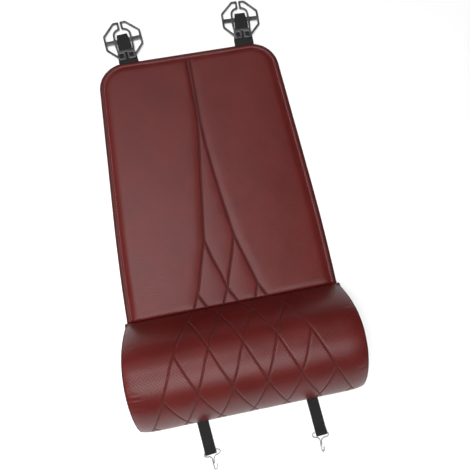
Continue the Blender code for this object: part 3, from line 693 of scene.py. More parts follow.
def flat_grid(low, width, depth):
    """Shape and points of a grid over a cover's flat pattern."""
    columns, rows = (int(round(size / SIM_CELL)) + 1 for size in (width, depth))
    x, y = np.meshgrid(low[0] + np.arange(columns) * SIM_CELL, low[1] + np.arange(rows) * SIM_CELL)
    return (rows, columns), np.stack([x.ravel(), y.ravel()], axis=1)


def read_field(field, low, points):
    """Read a grid of numbers at points of the pattern along a smooth curve."""
    place = (points - np.array(low)) / SIM_CELL
    first = np.floor(place).astype(int)
    part = place - first
    total = np.zeros(len(points))
    for i in range(-1, 3):
        for j in range(-1, 3):
            away = np.abs(np.array((i, j)) - part)
            weight = np.where(away < 1.0, 2 / 3 - away ** 2 + away ** 3 / 2, np.clip(2.0 - away, 0.0, None) ** 3 / 6)
            column = np.clip(first[:, 0] + i, 0, field.shape[1] - 1)
            row = np.clip(first[:, 1] + j, 0, field.shape[0] - 1)
            total += weight[:, 0] * weight[:, 1] * field[row, column]
    return total


# Meshes

def face_outwards(mesh, merge=0.0):
    """Merge a closed mesh's points that are as near as merge and turn its faces outwards."""
    bm = bmesh.new()
    bm.from_mesh(mesh)
    if merge:
        bmesh.ops.remove_doubles(bm, verts=bm.verts, dist=merge)
    bmesh.ops.recalc_face_normals(bm, faces=bm.faces)
    bm.to_mesh(mesh)
    bm.free()


class Cover:
    """Collects a cover's patches of faces and joins them into one closed mesh."""

    # sewn and edge carry painted shade on the leatherette; edge carries the painted glint on the plates
    MASKS = ("sewn", "plain", "edge")

    def __init__(self):
        self.patches = []

    def add(self, points, flat, faces, masks=None):
        self.patches.append((np.asarray(points), np.asarray(flat), faces, masks or {}))

    def build(self, name, material):
        bm = bmesh.new()
        uv = bm.loops.layers.uv.new("pattern")
        layers = [bm.verts.layers.float.new(mask) for mask in self.MASKS]
        for points, flat, faces, masks in self.patches:
            verts = [bm.verts.new(p) for p in points]
            for mask, layer in zip(self.MASKS, layers):
                values = masks.get(mask)
                if values is not None:
                    for vert, value in zip(verts, np.broadcast_to(values, len(verts))):
                        vert[layer] = float(value)
            for corners in faces:
                face = bm.faces.new([verts[k] for k in corners])
                face.smooth = True
                for loop, k in zip(face.loops, corners):
                    loop[uv].uv = flat[k]
        bmesh.ops.delete(bm, geom=[v for v in bm.verts if not v.link_faces], context="VERTS")
        bmesh.ops.remove_doubles(bm, verts=bm.verts, dist=2e-6)
        bmesh.ops.recalc_face_normals(bm, faces=bm.faces)
        mesh = bpy.data.meshes.new(name)
        bm.to_mesh(mesh)
        bm.free()
        return piece_from(name, mesh, material)


def piece_from(name, mesh, material):
    obj = bpy.data.objects.new(name, mesh)
    mesh.name = name
    mesh.materials.clear()
    mesh.materials.append(material)
    bpy.context.scene.collection.objects.link(obj)
    return obj


def evaluated_mesh(obj):
    """The plain mesh of an object with its modifiers applied, and the object removed."""
    bpy.context.view_layer.update()
    mesh = bpy.data.meshes.new_from_object(obj.evaluated_get(bpy.context.evaluated_depsgraph_get()))
    bpy.data.objects.remove(obj, do_unlink=True)
    return mesh


def finished(piece, node=None):
    """Bind a piece to the cushion's body and hide the solid it stands for."""
    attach(piece, BODY)
    if node:
        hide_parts(node)
    return piece


def lathe_faces(rows, columns, closed):
    """Quads between rows of points, joined round where closed."""
    faces = []
    for r in range(rows - 1):
        for c in range(columns if closed else columns - 1):
            after = (c + 1) % columns
            faces.append((r * columns + c, r * columns + after, (r + 1) * columns + after, (r + 1) * columns + c))
    return faces


# Seat panel

def seat_half(y):
    """Half width of the panel at a distance behind the crease."""
    return FRONT_HALF - SIDE_TAPER * y - CREASE_DRAW * np.clip(1.0 - y / DRAW_LENGTH, 0.0, None) ** 2


def seat_inset(x, y):
    """Distance in from the panel's hem."""
    from_side = (seat_half(y) - np.abs(x)) * math.cos(SIDE_ANGLE)
    out, back = np.abs(x) - CORNER_X, y - CORNER_Y
    corner = (out > 0.0) & (back > out * math.tan(SIDE_ANGLE))
    return np.where(corner, CORNER_RADIUS - np.hypot(out, back), np.minimum(from_side, PANEL_LENGTH - y))


def hem_run(x, y):
    """Distance along the hem, for what repeats along it."""
    out, back = np.abs(x) - CORNER_X, y - CORNER_Y
    round_corner = CORNER_Y + CORNER_RADIUS * np.arctan2(np.clip(back, 0.0, None), np.clip(out, 1e-6, None))
    end = CORNER_Y + CORNER_RADIUS * math.pi / 2
    run = np.where(out < 0.0, np.where(PANEL_LENGTH - y < 60 * MM, end - out, y), round_corner)
    run = np.where((out >= 0.0) & (back <= 0.0), y, run)
    return run + np.where(x > 0.0, 2.0, 0.0)


def hem_ring(inset):
    """The hem moved in by an inset, from the left end of the crease round to its right end."""
    radius = CORNER_RADIUS - inset
    side_end = CORNER_Y + radius * math.sin(SIDE_ANGLE)
    y = np.linspace(0.0, side_end, 142)
    right = [np.stack([seat_half(y) - inset / math.cos(SIDE_ANGLE), y], axis=1)]
    turn = np.linspace(SIDE_ANGLE, math.pi / 2, 20)[1:]
    right.append(np.stack([CORNER_X + radius * np.cos(turn), CORNER_Y + radius * np.sin(turn)], axis=1))
    x = np.linspace(CORNER_X, 0.0, 43)[1:]
    right.append(np.stack([x, np.full(len(x), PANEL_LENGTH - inset)], axis=1))
    right = np.concatenate(right)
    left = right[:-1] * np.array((-1.0, 1.0))
    return np.concatenate([left, right[::-1]])


def seat_channels():
    """Centre lines of the panel's sewn channels."""
    trunks = np.array(TRUNK_LINES, dtype=float) * MM
    branches = [np.array(branch, dtype=float) * MM for branch in BRANCH_LINES]
    return [trunks[:, [1, 0]], trunks[:, [2, 0]]] + branches


class SeatCover:
    """Heights of the panel's cover over its flat pattern."""

    HALF = 240 * MM
    LOW = (-HALF, 0.0)

    def __init__(self, sizes):
        self.sizes = sizes
        self.channels = seat_channels()
        self.swell = self.swelling()

    def base(self, points):
        """Height without the stitching or the swell."""
        x, y = points.T
        hem = smooth_profile(HEM_SHAPE, np.clip(seat_inset(x, y), 0.0, None))
        crease = smooth_profile(CREASE_SHAPE, y)
        soft = 0.5 * MM
        return -soft * np.logaddexp(-hem / soft, -crease / soft)

    def swelling(self):
        """How far the stuffed cover swells between its seams, over a grid of the pattern."""
        shape, flat = flat_grid(self.LOW, 2 * self.HALF, PANEL_LENGTH)
        from_seam = line_distance(flat, self.channels)
        inset = seat_inset(flat[:, 0], flat[:, 1])
        held = (from_seam < 0.6 * SIM_CELL) | (inset < 15 * MM) | (flat[:, 1] < 5 * MM)
        height = np.where(inset > 0.0, self.base(flat) - sewn_depth(from_seam, self.sizes.seat_groove), 0.0)
        grid = np.concatenate([flat, height[:, None]], axis=1).reshape(*shape, 3)
        grid[[0, -1], :, 2] = 0.0
        grid[:, [0, -1], 2] = 0.0

        def closings(index):
            return [np.concatenate([index[0, :], index[1:, -1], index[-1, -2::-1], index[-2:0:-1, 0]])]

        return swollen("seat_swell", grid, closings, held.reshape(shape), self.sizes.seat_pressure,
                       self.sizes.seat_swell)

    def height(self, points):
        x, y = points.T
        inset = np.clip(seat_inset(x, y), 0.0, None)
        from_seam = line_distance(points, self.channels)
        free = risen(from_seam, 0, 9) * risen(inset, 14, 14)
        free = free * risen(y, 0, 12)
        height = self.base(points) + free * read_field(self.swell, self.LOW, points)
        height += 0.45 * MM * risen(inset, 14, 30) * undulation(points, 85 * MM, 3.1)
        height += 0.12 * MM * risen(inset, 14, 20) * undulation(points, 22 * MM, 8.4)
        run = hem_run(x, y)
        near_hem = around(inset, 11, 6)
        ripple = np.sin(run / (1.9 * MM)) * 0.4 + np.sin(run / (3.3 * MM) + 1.0) + np.sin(run / (5.7 * MM))
        height += 0.10 * MM * ripple * near_hem
        fade = risen(inset, 13, 8)
        fade = fade * (0.25 + 0.75 * risen(y, 0, 6))
        return height - fade * sewn_depth(from_seam, self.sizes.seat_groove)

    def normal(self, points):
        step = 0.8 * MM
        x_slope = self.height(points + (step, 0.0)) - self.height(points - (step, 0.0))
        y_slope = self.height(points + (0.0, step)) - self.height(points - (0.0, step))
        return unit(np.stack([-x_slope, -y_slope, np.full(len(points), 2 * step)], axis=1))


def strap_place(x, y, turn):
    """Frame of a strap from its place behind the crease (mm) and its turn (degrees)."""
    return Matrix.Translation((x * MM, y * MM + CREASE_Y, 0.0)) @ Matrix.Rotation(math.radians(turn), 4, "Z")


def strap_seats():
    """Inverse frame, half width, low and high end and height of each hollow that a strap lies in."""
    seats = []
    for _, x, y, turn, hem in ANCHORS:
        low = (-hem - ELASTIC_TUCK - 0.6) * MM
        seats.append((strap_place(x, y, turn).inverted(), ELASTIC_WIDTH / 2 + SEAT_PLAY, low, 1.0, ELASTIC_SEAT))
    for _, x, before, turn, *_ in HOOKS:
        high = (before + WEBBING_TUCK + 0.6) * MM + CREST_Y - FRONT_REACH
        place = strap_place(x, -before, turn)
        seats.append((place.inverted(), WEBBING_WIDTH / 2 + SEAT_PLAY, -1.0, high, WEBBING_SEAT))
    return seats


def lift_over_straps(points):
    """Raise the underside where a strap is sewn under it."""
    points = points.copy()
    for inverse, half, low, high, height in strap_seats():
        turn = np.array(inverse.to_3x3())
        local = points @ turn.T + np.array(inverse.translation)
        over = (np.abs(local[:, 0]) < half) & (local[:, 1] > low) & (local[:, 1] < high)
        points[over, 2] = np.maximum(points[over, 2], height)
    return points


def underside(cover, outline):
    """Close a cover's floor side with plain cloth inside an outline of points."""
    edge = outline[:, :2]
    pattern = Pattern()
    pattern.add(edge, 0.0)

    def spread(points, clear):
        inner = [p for p in points if within(p, edge) and np.hypot(*(edge - p).T).min() > 2 * MM]
        pattern.add(inner, clear)

    for inverse, half, low, high, _ in strap_seats():
        place = inverse.inverted()
        rim = [(side * (half + shift), along) for side in (-1.0, 1.0) for shift in RIM_ROWS
               for along in np.arange(-0.14, 0.14, 3 * MM)]
        rim += [(across, end + shift) for end in (low, high) if abs(end) < 0.5 for shift in RIM_ROWS
                for across in np.linspace(-half, half, 12)]
        spread([tuple((place @ Vector((*point, 0.0))).xy) for point in rim], 0.4 * MM)
    step = 12 * MM
    low, high = edge.min(0), edge.max(0)
    spread([(x, y) for x in np.arange(low[0] + step, high[0], step) for y in np.arange(low[1] + step, high[1], step)],
           0.3 * step)
    pattern.points = pattern.points[len(outline):]
    flat, faces = pattern.triangles(edge)
    points = lift_over_straps(np.concatenate([flat, np.zeros((len(flat), 1))], axis=1))
    points[:len(outline)] = outline
    cover.add(points, flat, faces, masks={"plain": 1.0})


def seat_mesh(seat, material):
    """The panel's cover, its rolled hem and its underside as one closed mesh."""
    ring = hem_ring(0.0)
    front = np.linspace(seat_half(0.0), -seat_half(0.0), 118)[1:-1]
    front = np.stack([front, np.zeros(len(front))], axis=1)
    outline = np.concatenate([ring, front])
    pattern = Pattern()
    for inset in HEM_RINGS:
        pattern.add([p for p in hem_ring(inset * MM) if p[1] > 0.4 * MM], 0.25 * MM)
    for row in CREASE_ROWS:
        xs = np.linspace(-seat_half(0.0) + 31 * MM, seat_half(0.0) - 31 * MM, 104)
        pattern.add([(x, row * MM) for x in xs], 0.4 * MM)

    def keep(x, y):
        return y > 0.5 * MM and seat_inset(np.array(x), np.array(y)) > 14.5 * MM

    seam_points(pattern, seat.channels, keep)
    field_points(pattern, (-235 * MM, 12 * MM), (235 * MM, 600 * MM), seat.channels,
                 lambda x, y: seat_inset(np.array(x), np.array(y)) > 31 * MM)
    flat, faces = pattern.triangles(outline)
    height = seat.height(flat)
    points = np.stack([flat[:, 0], flat[:, 1] + CREASE_Y, height], axis=1)
    inset = seat_inset(*flat.T)
    sewn = around(line_distance(flat, seat.channels), 0, 2.8, 4)
    sewn = sewn * risen(inset, 12, 3)
    hem_seam = around(inset, STITCH_INSET / MM, 1.3)
    hem = 1.0 - risen(inset, 9, 2)
    # sewn: painted shade in the channels and at the hem's stitch line; edge: painted shade on the rim and over the
    # hem band
    masks = {
        "sewn": np.maximum(sewn, 0.9 * hem_seam),
        "plain": np.maximum(1.0 - risen(inset, 14, 2), np.where(sewn > 0.2, 1.0, 0.0)),
        "edge": np.maximum(around(inset, 0, 3.4, 4), 0.4 * hem),
    }
    cover = Cover()
    cover.add(lift_over_straps(points), flat, faces, masks=masks)

    inward = np.zeros_like(outline)
    inward[:len(ring)] = hem_ring(1.0 * MM) - ring
    inward /= MM
    top = seat.height(outline)
    rows = [np.column_stack([outline, top])]
    for step, height in HEM_UNDER:
        rows.append(np.column_stack([outline + inward * step * MM, top * height / HEM_SHAPE[0][1]]))
    rows = [row + np.array((0.0, CREASE_Y, 0.0)) for row in rows]
    skirt = lift_over_straps(np.concatenate(rows))
    run = run_along(outline)
    flat_skirt = np.concatenate([np.stack([run, np.full(len(run), k * 2.0 * MM)], axis=1) for k in range(len(rows))])
    # The turned-under hem gets painted shade, full at the rim and fading towards the floor
    cover.add(skirt, flat_skirt, lathe_faces(len(rows), len(outline), True),
              masks={"plain": 1.0, "edge": np.repeat(np.linspace(1.0, 0.0, len(rows)), len(outline))})
    underside(cover, skirt[-len(outline):])
    return cover.build("seat_cover", material)


# Leg roll

class RollCover:
    """Places of the roll's cover over its flat pattern: x across, s round the section."""

    def __init__(self, sizes):
        self.sizes = sizes
        self.section = self.section_line()
        self.round = run_along(self.section) - BACK_EDGE_HEIGHT
        self.start, self.end = self.round[0], self.round[-1]
        self.low = (-ROLL_HALF, self.start)
        self.channels = self.diamonds()
        self.swell = self.swelling()

    @staticmethod
    def section_line():
        """The section from the floor at the crease, over the crest, to the floor at the front."""
        span = np.linspace(1.0, 0.0, 300)
        back = (CREST_Y * (1.0 - span), BACK_EDGE_HEIGHT + (CREST_Z - BACK_EDGE_HEIGHT) * (1.0 - span ** BACK_POWER))
        centre_y = CREST_Y - FRONT_REACH + TURN_RADIUS
        front = np.sin(np.linspace(0.0, math.pi / 2, 300))[1:]
        share = (1.0 - front ** FRONT_POWER) ** FRONT_FULLNESS
        over = (CREST_Y - FRONT_REACH * front, TURN_RADIUS + (CREST_Z - TURN_RADIUS) * share)
        turn = np.linspace(math.pi / 2, 0.0, 30)[1:]
        under = (centre_y - TURN_RADIUS * np.sin(turn), TURN_RADIUS * (1.0 - np.cos(turn)))
        seam = (np.array([0.0]), np.array([0.0]))
        y, z = (np.concatenate(parts) for parts in zip(seam, back, over, under))
        return np.stack([y + SEAM_LAP, z], axis=1)

    def at(self, s):
        return np.stack([np.interp(s, self.round, self.section[:, k]) for k in range(2)], axis=1)

    def inward(self, s):
        """Unit normals into the roll."""
        ahead = self.at(np.minimum(s + 1.5 * MM, self.end)) - self.at(np.maximum(s - 1.5 * MM, self.start))
        return turned_left(unit(ahead))

    def diamonds(self):
        """Centre lines of the sewn diamonds, each from one crossing to the next."""
        def knots(row):
            count = FIRST_KNOTS + row
            return [DIAMOND_PITCH * (k - (count - 1) / 2) for k in range(count)]

        lines = [np.array(((x * MM, 0.0), (knots(0)[k], FIRST_ROW))) for x, k in CREASE_STARTS]
        stop = self.end - 14 * MM
        for row in range(DIAMOND_ROWS):
            upper = FIRST_ROW + DIAMOND_ROW * row
            reach = min(1.0, (stop - upper) / DIAMOND_ROW)
            for k, x in enumerate(knots(row)):
                for below in knots(row + 1)[k:k + 2]:
                    lines.append(np.array(((x, upper), (x + (below - x) * reach, upper + DIAMOND_ROW * reach))))
        return lines

    def swelling(self):
        """How far the stuffed cover swells between its seams, over a grid of the pattern."""
        shape, flat = flat_grid(self.low, 2 * ROLL_HALF, self.end - self.start)
        flat[:, 1] = np.minimum(flat[:, 1], self.end)
        from_seam = line_distance(flat, self.channels)
        inset = ROLL_HALF - np.abs(flat[:, 0])
        from_floor = np.minimum(flat[:, 1], self.end - flat[:, 1])
        held = (from_seam < 0.6 * SIM_CELL) | (inset < 14 * MM) | (from_floor < 6 * MM)
        grid = self.drawn_in(flat, sewn_depth(from_seam, self.sizes.roll_groove)).reshape(*shape, 3)

        def closings(index):
            return [np.concatenate([index[0, ::-1], index[-1, :]]), index[:, 0], index[::-1, -1]]

        return swollen("roll_swell", grid, closings, held.reshape(shape), self.sizes.roll_pressure,
                       self.sizes.roll_swell)

    def drawn_in(self, flat, sunk):
        """Points of the cover drawn in by a distance, kept on the floor and on the crease seam."""
        x, s = flat.T
        inset = ROLL_HALF - np.abs(x)
        sunk = sunk + smooth_profile(END_SHAPE, np.clip(inset, 0.0, None))
        seam = np.clip(s / (8 * MM), 0.0, 1.0)
        shift = self.inward(s) * sunk[:, None]
        shift[:, 0] *= seam
        shift[:, 1] *= np.minimum(seam, np.clip((self.end - s) / (22 * MM), 0.0, 1.0))
        yz = self.at(s) + shift
        return np.column_stack([x, yz[:, 0] + CREASE_Y, yz[:, 1]])

    def sunk(self, flat):
        """How far the stitching, puckers and swell move the cover in from its section."""
        x, s = flat.T
        inset = ROLL_HALF - np.abs(x)
        from_seam = line_distance(flat, self.channels)
        from_floor = np.minimum(s, self.end - s)
        free = risen(from_seam, 0, 9) * risen(inset, 13, 12)
        free = free * risen(from_floor, 0, 12)
        low_edge = 0.2 + 0.8 * risen(self.end - s, 0, 42)
        crease = 0.3 + 0.7 * risen(s, 0, 12)
        sunk = low_edge * crease * sewn_depth(from_seam, self.sizes.roll_groove)
        sunk -= free * read_field(self.swell, self.low, flat)
        sunk -= 0.3 * MM * risen(inset, 14, 30) * undulation(flat, 90 * MM, 5.7)
        sunk -= 0.12 * MM * risen(inset, 14, 20) * undulation(flat, 20 * MM, 2.2)
        ripple = np.sin(s / (2.6 * MM)) * 0.4 + np.sin(s / (4.4 * MM) + 0.7) + np.sin(s / (7.1 * MM) + x * 9.0)
        sunk += 0.12 * MM * ripple * around(inset, 4, 4)
        for side, at, width, length, depth in PUCKERS:
            fold = around(s, at, 0.5 * width) * around(inset, 15, 0.6 * length)
            sunk += depth * MM * fold * (x * side > 0.0)
        return sunk

    def points(self, flat):
        return self.drawn_in(flat, self.sunk(flat))

    def normals(self, flat):
        """Unit normals out of the cover, without its fine relief."""
        return np.column_stack([np.zeros(len(flat)), -self.inward(flat[:, 1])])


def roll_mesh(roll, material):
    """The roll's cover, its end walls and its underside as one closed mesh."""
    rounds = np.linspace(roll.start, roll.end, 136)
    seats = [x * MM for _, x, *_ in HOOKS]
    across = np.linspace(-ROLL_HALF, ROLL_HALF, 119)
    near = np.array([x + side * (WEBBING_WIDTH / 2 + gap * MM) for x in seats for side in (-1, 1)
                     for gap in (0.2, 0.9)])
    across = np.array([x for x in across if np.abs(near - x).min() > 1.2 * MM])
    across = np.sort(np.concatenate([across, near]))
    outline = [(-ROLL_HALF, s) for s in rounds] + [(x, roll.end) for x in across[1:-1]]
    outline += [(ROLL_HALF, s) for s in rounds[::-1]] + [(x, roll.start) for x in across[-2:0:-1]]
    pattern = Pattern()
    for inset in END_RINGS:
        for side in (-1.0, 1.0):
            pattern.add([(side * (ROLL_HALF - inset * MM), s) for s in rounds[1:-1]], 0.25 * MM)
    for back in (1.5, 4.0, 7.0, 10.5, 14.5, 19.0):
        pattern.add([(x, roll.end - back * MM) for x in across if abs(x) < ROLL_HALF - 30 * MM], 0.4 * MM)

    def keep(x, s):
        return roll.start + MM < s < roll.end - MM and abs(x) < ROLL_HALF - 14.5 * MM

    seam_points(pattern, roll.channels, keep)
    field_points(pattern, (-ROLL_HALF, roll.start + 4 * MM), (ROLL_HALF, roll.end - 3 * MM), roll.channels,
                 lambda x, s: abs(x) < ROLL_HALF - 30 * MM and s < roll.end - 21 * MM)
    flat, faces = pattern.triangles(outline)
    points = lift_over_straps(roll.points(flat))
    inset = ROLL_HALF - np.abs(flat[:, 0])
    sewn = around(line_distance(flat, roll.channels), 0, 1.35)
    # sewn: painted shade along the diamonds and as a dark outline at the ends; edge: painted shade on the ends'
    # rounded rims
    masks = {
        "sewn": np.maximum(sewn, around(inset, 0, 1.3)),
        "plain": np.maximum(1.0 - risen(inset, 8, 3), np.where(sewn > 0.2, 1.0, 0.0)),
        "edge": around(inset, 0, 3.1, 4),
    }
    cover = Cover()
    cover.add(points, flat * (1.0, -1.0), faces, masks=masks)
    for side in (-1.0, 1.0):
        end_wall(cover, roll, side, rounds)
    front = roll.points(np.stack([across, np.full(len(across), roll.end)], axis=1))
    crease = roll.points(np.stack([across, np.full(len(across), roll.start)], axis=1))
    right = base_line(roll, 1.0)[1:-1]
    left = base_line(roll, -1.0)[1:-1]
    outline = lift_over_straps(np.concatenate([front, right, crease[::-1], left[::-1]]))
    underside(cover, outline)
    return cover.build("leg_roll_cover", material)


def base_line(roll, side):
    """Points along the floor under an end seam, from the front edge to the crease."""
    ends = roll.points(np.array(((side * ROLL_HALF, roll.end), (side * ROLL_HALF, roll.start))))
    share = np.linspace(0.0, 1.0, 36)[:, None]
    return ends[0] + (ends[1] - ends[0]) * share


def end_wall(cover, roll, side, rounds):
    """Close one end of the roll with a slightly domed wall inside its seam."""
    arch = roll.points(np.stack([np.full(len(rounds), side * ROLL_HALF), rounds], axis=1))
    loop = np.concatenate([arch, base_line(roll, side)[1:-1]])
    count = len(loop)
    yz = loop[:, 1:]
    inward = turned_left(unit(np.roll(yz, -1, axis=0) - np.roll(yz, 1, axis=0)))
    centre = np.array((WALL_CENTRE[0] + CREASE_Y, WALL_CENTRE[1]))
    rows = [loop]
    for out, step in WALL_SEAM:
        rows.append(np.column_stack([np.full(count, side * (ROLL_HALF + out * MM)), yz + inward * step * MM]))
    last = rows[-1]
    for k in range(1, WALL_RINGS + 1):
        share = k / (WALL_RINGS + 1)
        x = ROLL_HALF + WALL_SEAM[-1][0] * MM + WALL_BULGE * math.sin(share * math.pi / 2)
        rows.append(np.column_stack([np.full(count, side * x), centre + (last[:, 1:] - centre) * (1.0 - share)]))
    points = np.concatenate(rows + [[(rows[-1][0, 0], *centre)]])
    points[:, 2] = np.maximum(points[:, 2], 0.0)
    faces = lathe_faces(len(rows), count, True)
    tip, first = len(points) - 1, (len(rows) - 1) * count
    faces += [(first + k, first + (k + 1) % count, tip) for k in range(count)]
    row = np.arange(len(points)) // count
    # The seam's first rows get painted shade: edge on the outer rows, sewn on the seam row
    masks = {"plain": row < 3, "edge": row < 3, "sewn": row == 1}
    cover.add(points, points[:, 1:] * (side, 1.0), faces, masks=masks)


# Stitching

def stitch_tree():
    """Node tree that lays stitches along every line of a mesh."""
    tree = bpy.data.node_groups.new("stitches", "GeometryNodeTree")
    tree.interface.new_socket("Geometry", in_out="INPUT", socket_type="NodeSocketGeometry")
    for name in ("Stitch length", "Stitch spacing", "Thread width"):
        tree.interface.new_socket(name, in_out="INPUT", socket_type="NodeSocketFloat")
    tree.interface.new_socket("Seed", in_out="INPUT", socket_type="NodeSocketInt")
    tree.interface.new_socket("Thread", in_out="INPUT", socket_type="NodeSocketMaterial")
    tree.interface.new_socket("Geometry", in_out="OUTPUT", socket_type="NodeSocketGeometry")
    given = add_node(tree, "NodeGroupInput").outputs

    def step(kind, inputs=None, **settings):
        return add_node(tree, kind, settings, inputs).outputs[0]

    curve = step("GeometryNodeMeshToCurve", {0: given["Geometry"]})
    even = step("GeometryNodeResampleCurve", {"Curve": curve, "Length": given["Stitch spacing"]}, mode="LENGTH")
    tangent = step("GeometryNodeInputTangent")
    up = step("GeometryNodeInputNamedAttribute", {"Name": "up"}, data_type="FLOAT_VECTOR")
    along = step("FunctionNodeAlignRotationToVector", {"Vector": tangent}, axis="X")
    flat = step("FunctionNodeAlignRotationToVector", {"Rotation": along, "Vector": up}, axis="Z", pivot_axis="X")
    jitter = step("FunctionNodeRandomValue", {0: [-turn for turn in STITCH_TURNS], 1: STITCH_TURNS,
                                              "Seed": given["Seed"]}, data_type="FLOAT_VECTOR")
    jitter = step("FunctionNodeEulerToRotation", {0: jitter})
    turned = step("FunctionNodeRotateRotation", {0: flat, 1: jitter}, rotation_space="LOCAL")
    size = step("ShaderNodeCombineXYZ",
                {0: given["Stitch length"], 1: given["Thread width"], 2: given["Thread width"]})
    stitch = step("GeometryNodeMeshUVSphere", {"Segments": 8, "Rings": 5, "Radius": 0.5})
    placed = step("GeometryNodeInstanceOnPoints",
                  {"Points": even, "Instance": stitch, "Rotation": turned, "Scale": size})
    real = step("GeometryNodeRealizeInstances", {0: placed})
    smooth = step("GeometryNodeSetShadeSmooth", {"Geometry": real})
    dressed = step("GeometryNodeSetMaterial", {"Geometry": smooth, "Material": given["Thread"]})
    add_node(tree, "NodeGroupOutput", None, {0: dressed})
    return tree


def stitched(name, lines, thread, stitches, length=None, spacing=None, width=None):
    """Sew thread along lines of (points, normals), as one plain mesh."""
    mesh = bpy.data.meshes.new(name)
    points = np.concatenate([points for points, _ in lines])
    ups = np.concatenate([normals for _, normals in lines])
    edges, first = [], 0
    for line, _ in lines:
        edges += [(first + k, first + k + 1) for k in range(len(line) - 1)]
        first += len(line)
    mesh.from_pydata(points.tolist(), edges, [])
    mesh.attributes.new("up", "FLOAT_VECTOR", "POINT").data.foreach_set("vector", ups.ravel())
    path = bpy.data.objects.new(name + "_path", mesh)
    bpy.context.scene.collection.objects.link(path)
    sewing = path.modifiers.new("stitches", "NODES")
    sewing.node_group = bpy.data.node_groups.get("stitches") or stitch_tree()
    values = {"Stitch length": length or stitches.length, "Stitch spacing": spacing or stitches.spacing,
              "Thread width": width or stitches.thread, "Seed": stitches.seed, "Thread": thread}
    for item in sewing.node_group.interface.items_tree:
        if item.in_out == "INPUT" and item.name in values:
            sewing[item.identifier] = values[item.name]
    return piece_from(name, evaluated_mesh(path), thread)


def seat_stitch_line(seat, flat, lift):
    """Points and normals of a stitched line on the panel."""
    normals = seat.normal(flat)
    points = np.column_stack([flat[:, 0], flat[:, 1] + CREASE_Y, seat.height(flat)])
    return points + normals * lift, normals


def roll_stitch_line(roll, flat, lift):
    """Points and normals of a stitched line on the roll."""
    normals = roll.normals(flat)
    return roll.points(flat) + normals * lift, normals


# Straps

def ribbon(name, rows, thickness, material, columns=13, folds=0.0):
    """A closed strip of cloth along rows of (centre, along, up, width)."""
    share = np.linspace(-1.0, 1.0, columns)
    half = thickness / 2 * (1.0 - 0.45 * np.abs(share) ** 7)
    centres = np.array([row[0] for row in rows])
    run = run_along(centres)
    widest = max(row[3] for row in rows)
    loops, flats = [], []
    for (centre, ahead, up, width), length in zip(rows, run):
        side = np.cross(ahead, up)
        gather = folds * (1.0 - width / widest) * np.sin(share * math.pi * 3.5)
        middle = np.array(centre) + np.outer(share * width / 2, side) + np.outer(gather, up)
        top = middle + np.outer(half, up)
        bottom = middle - np.outer(half, up)
        loops.append(np.concatenate([top, bottom[::-1]]))
        across = np.concatenate([share, share[::-1]]) * widest / 2
        flats.append(np.stack([across, np.full(len(across), length)], axis=1))
    cover = Cover()
    count = 2 * columns
    faces = lathe_faces(len(rows), count, True)
    for base in (0, (len(rows) - 1) * count):
        faces += [(base + k, base + k + 1, base + count - 2 - k, base + count - 1 - k) for k in range(columns - 1)]
    cover.add(np.concatenate(loops), np.concatenate(flats), faces)
    return cover.build(name, material)


def strap_rows(path, place):
    """Rows of a ribbon from a path of (along, height, width) in millimetres in the strap's own frame."""
    path = np.array(path, dtype=float)
    line = np.column_stack([np.zeros(len(path)), path[:, 0], path[:, 1]]) * MM
    ahead = unit(np.gradient(line, axis=0))
    turn = np.array(place.to_3x3())
    rows = []
    for point, forward, width in zip(line, ahead, path[:, 2]):
        up = np.cross((1.0, 0.0, 0.0), forward)
        centre = np.array(place @ Vector(point))
        rows.append((centre, turn @ forward, turn @ up, width * MM))
    return rows


# Anchor plates

def rounded(points, radius, steps=5):
    """Replace each corner of a closed outline by an arc."""
    out = []
    for k, corner in enumerate(points):
        corner = Vector(corner)
        before, after = Vector(points[k - 1]) - corner, Vector(points[(k + 1) % len(points)]) - corner
        cut = min(radius, 0.45 * before.length, 0.45 * after.length)
        start, end = corner + before.normalized() * cut, corner + after.normalized() * cut
        for t in np.linspace(0.0, 1.0, steps):
            out.append(tuple(start * (1 - t) ** 2 + corner * 2 * t * (1 - t) + end * t ** 2))
    return np.array(out)


def plate_loops():
    """The plate's outer edge and windows as rounded loops, each running anticlockwise."""
    def mirrored(points):
        return [(-x, y) for x, y in reversed(points)]

    loops = [list(PLATE_OUTLINE) + mirrored(PLATE_OUTLINE), list(PLATE_SLOT) + mirrored(PLATE_SLOT)]
    for window in PLATE_WINDOWS:
        loops += [list(window), mirrored(window)]
    found = []
    for loop in loops:
        loop = rounded(loop, PLATE_CORNER)
        x, y = loop.T
        area = (x * np.roll(y, -1) - np.roll(x, -1) * y).sum()
        found.append(loop if area > 0.0 else loop[::-1])
    return found


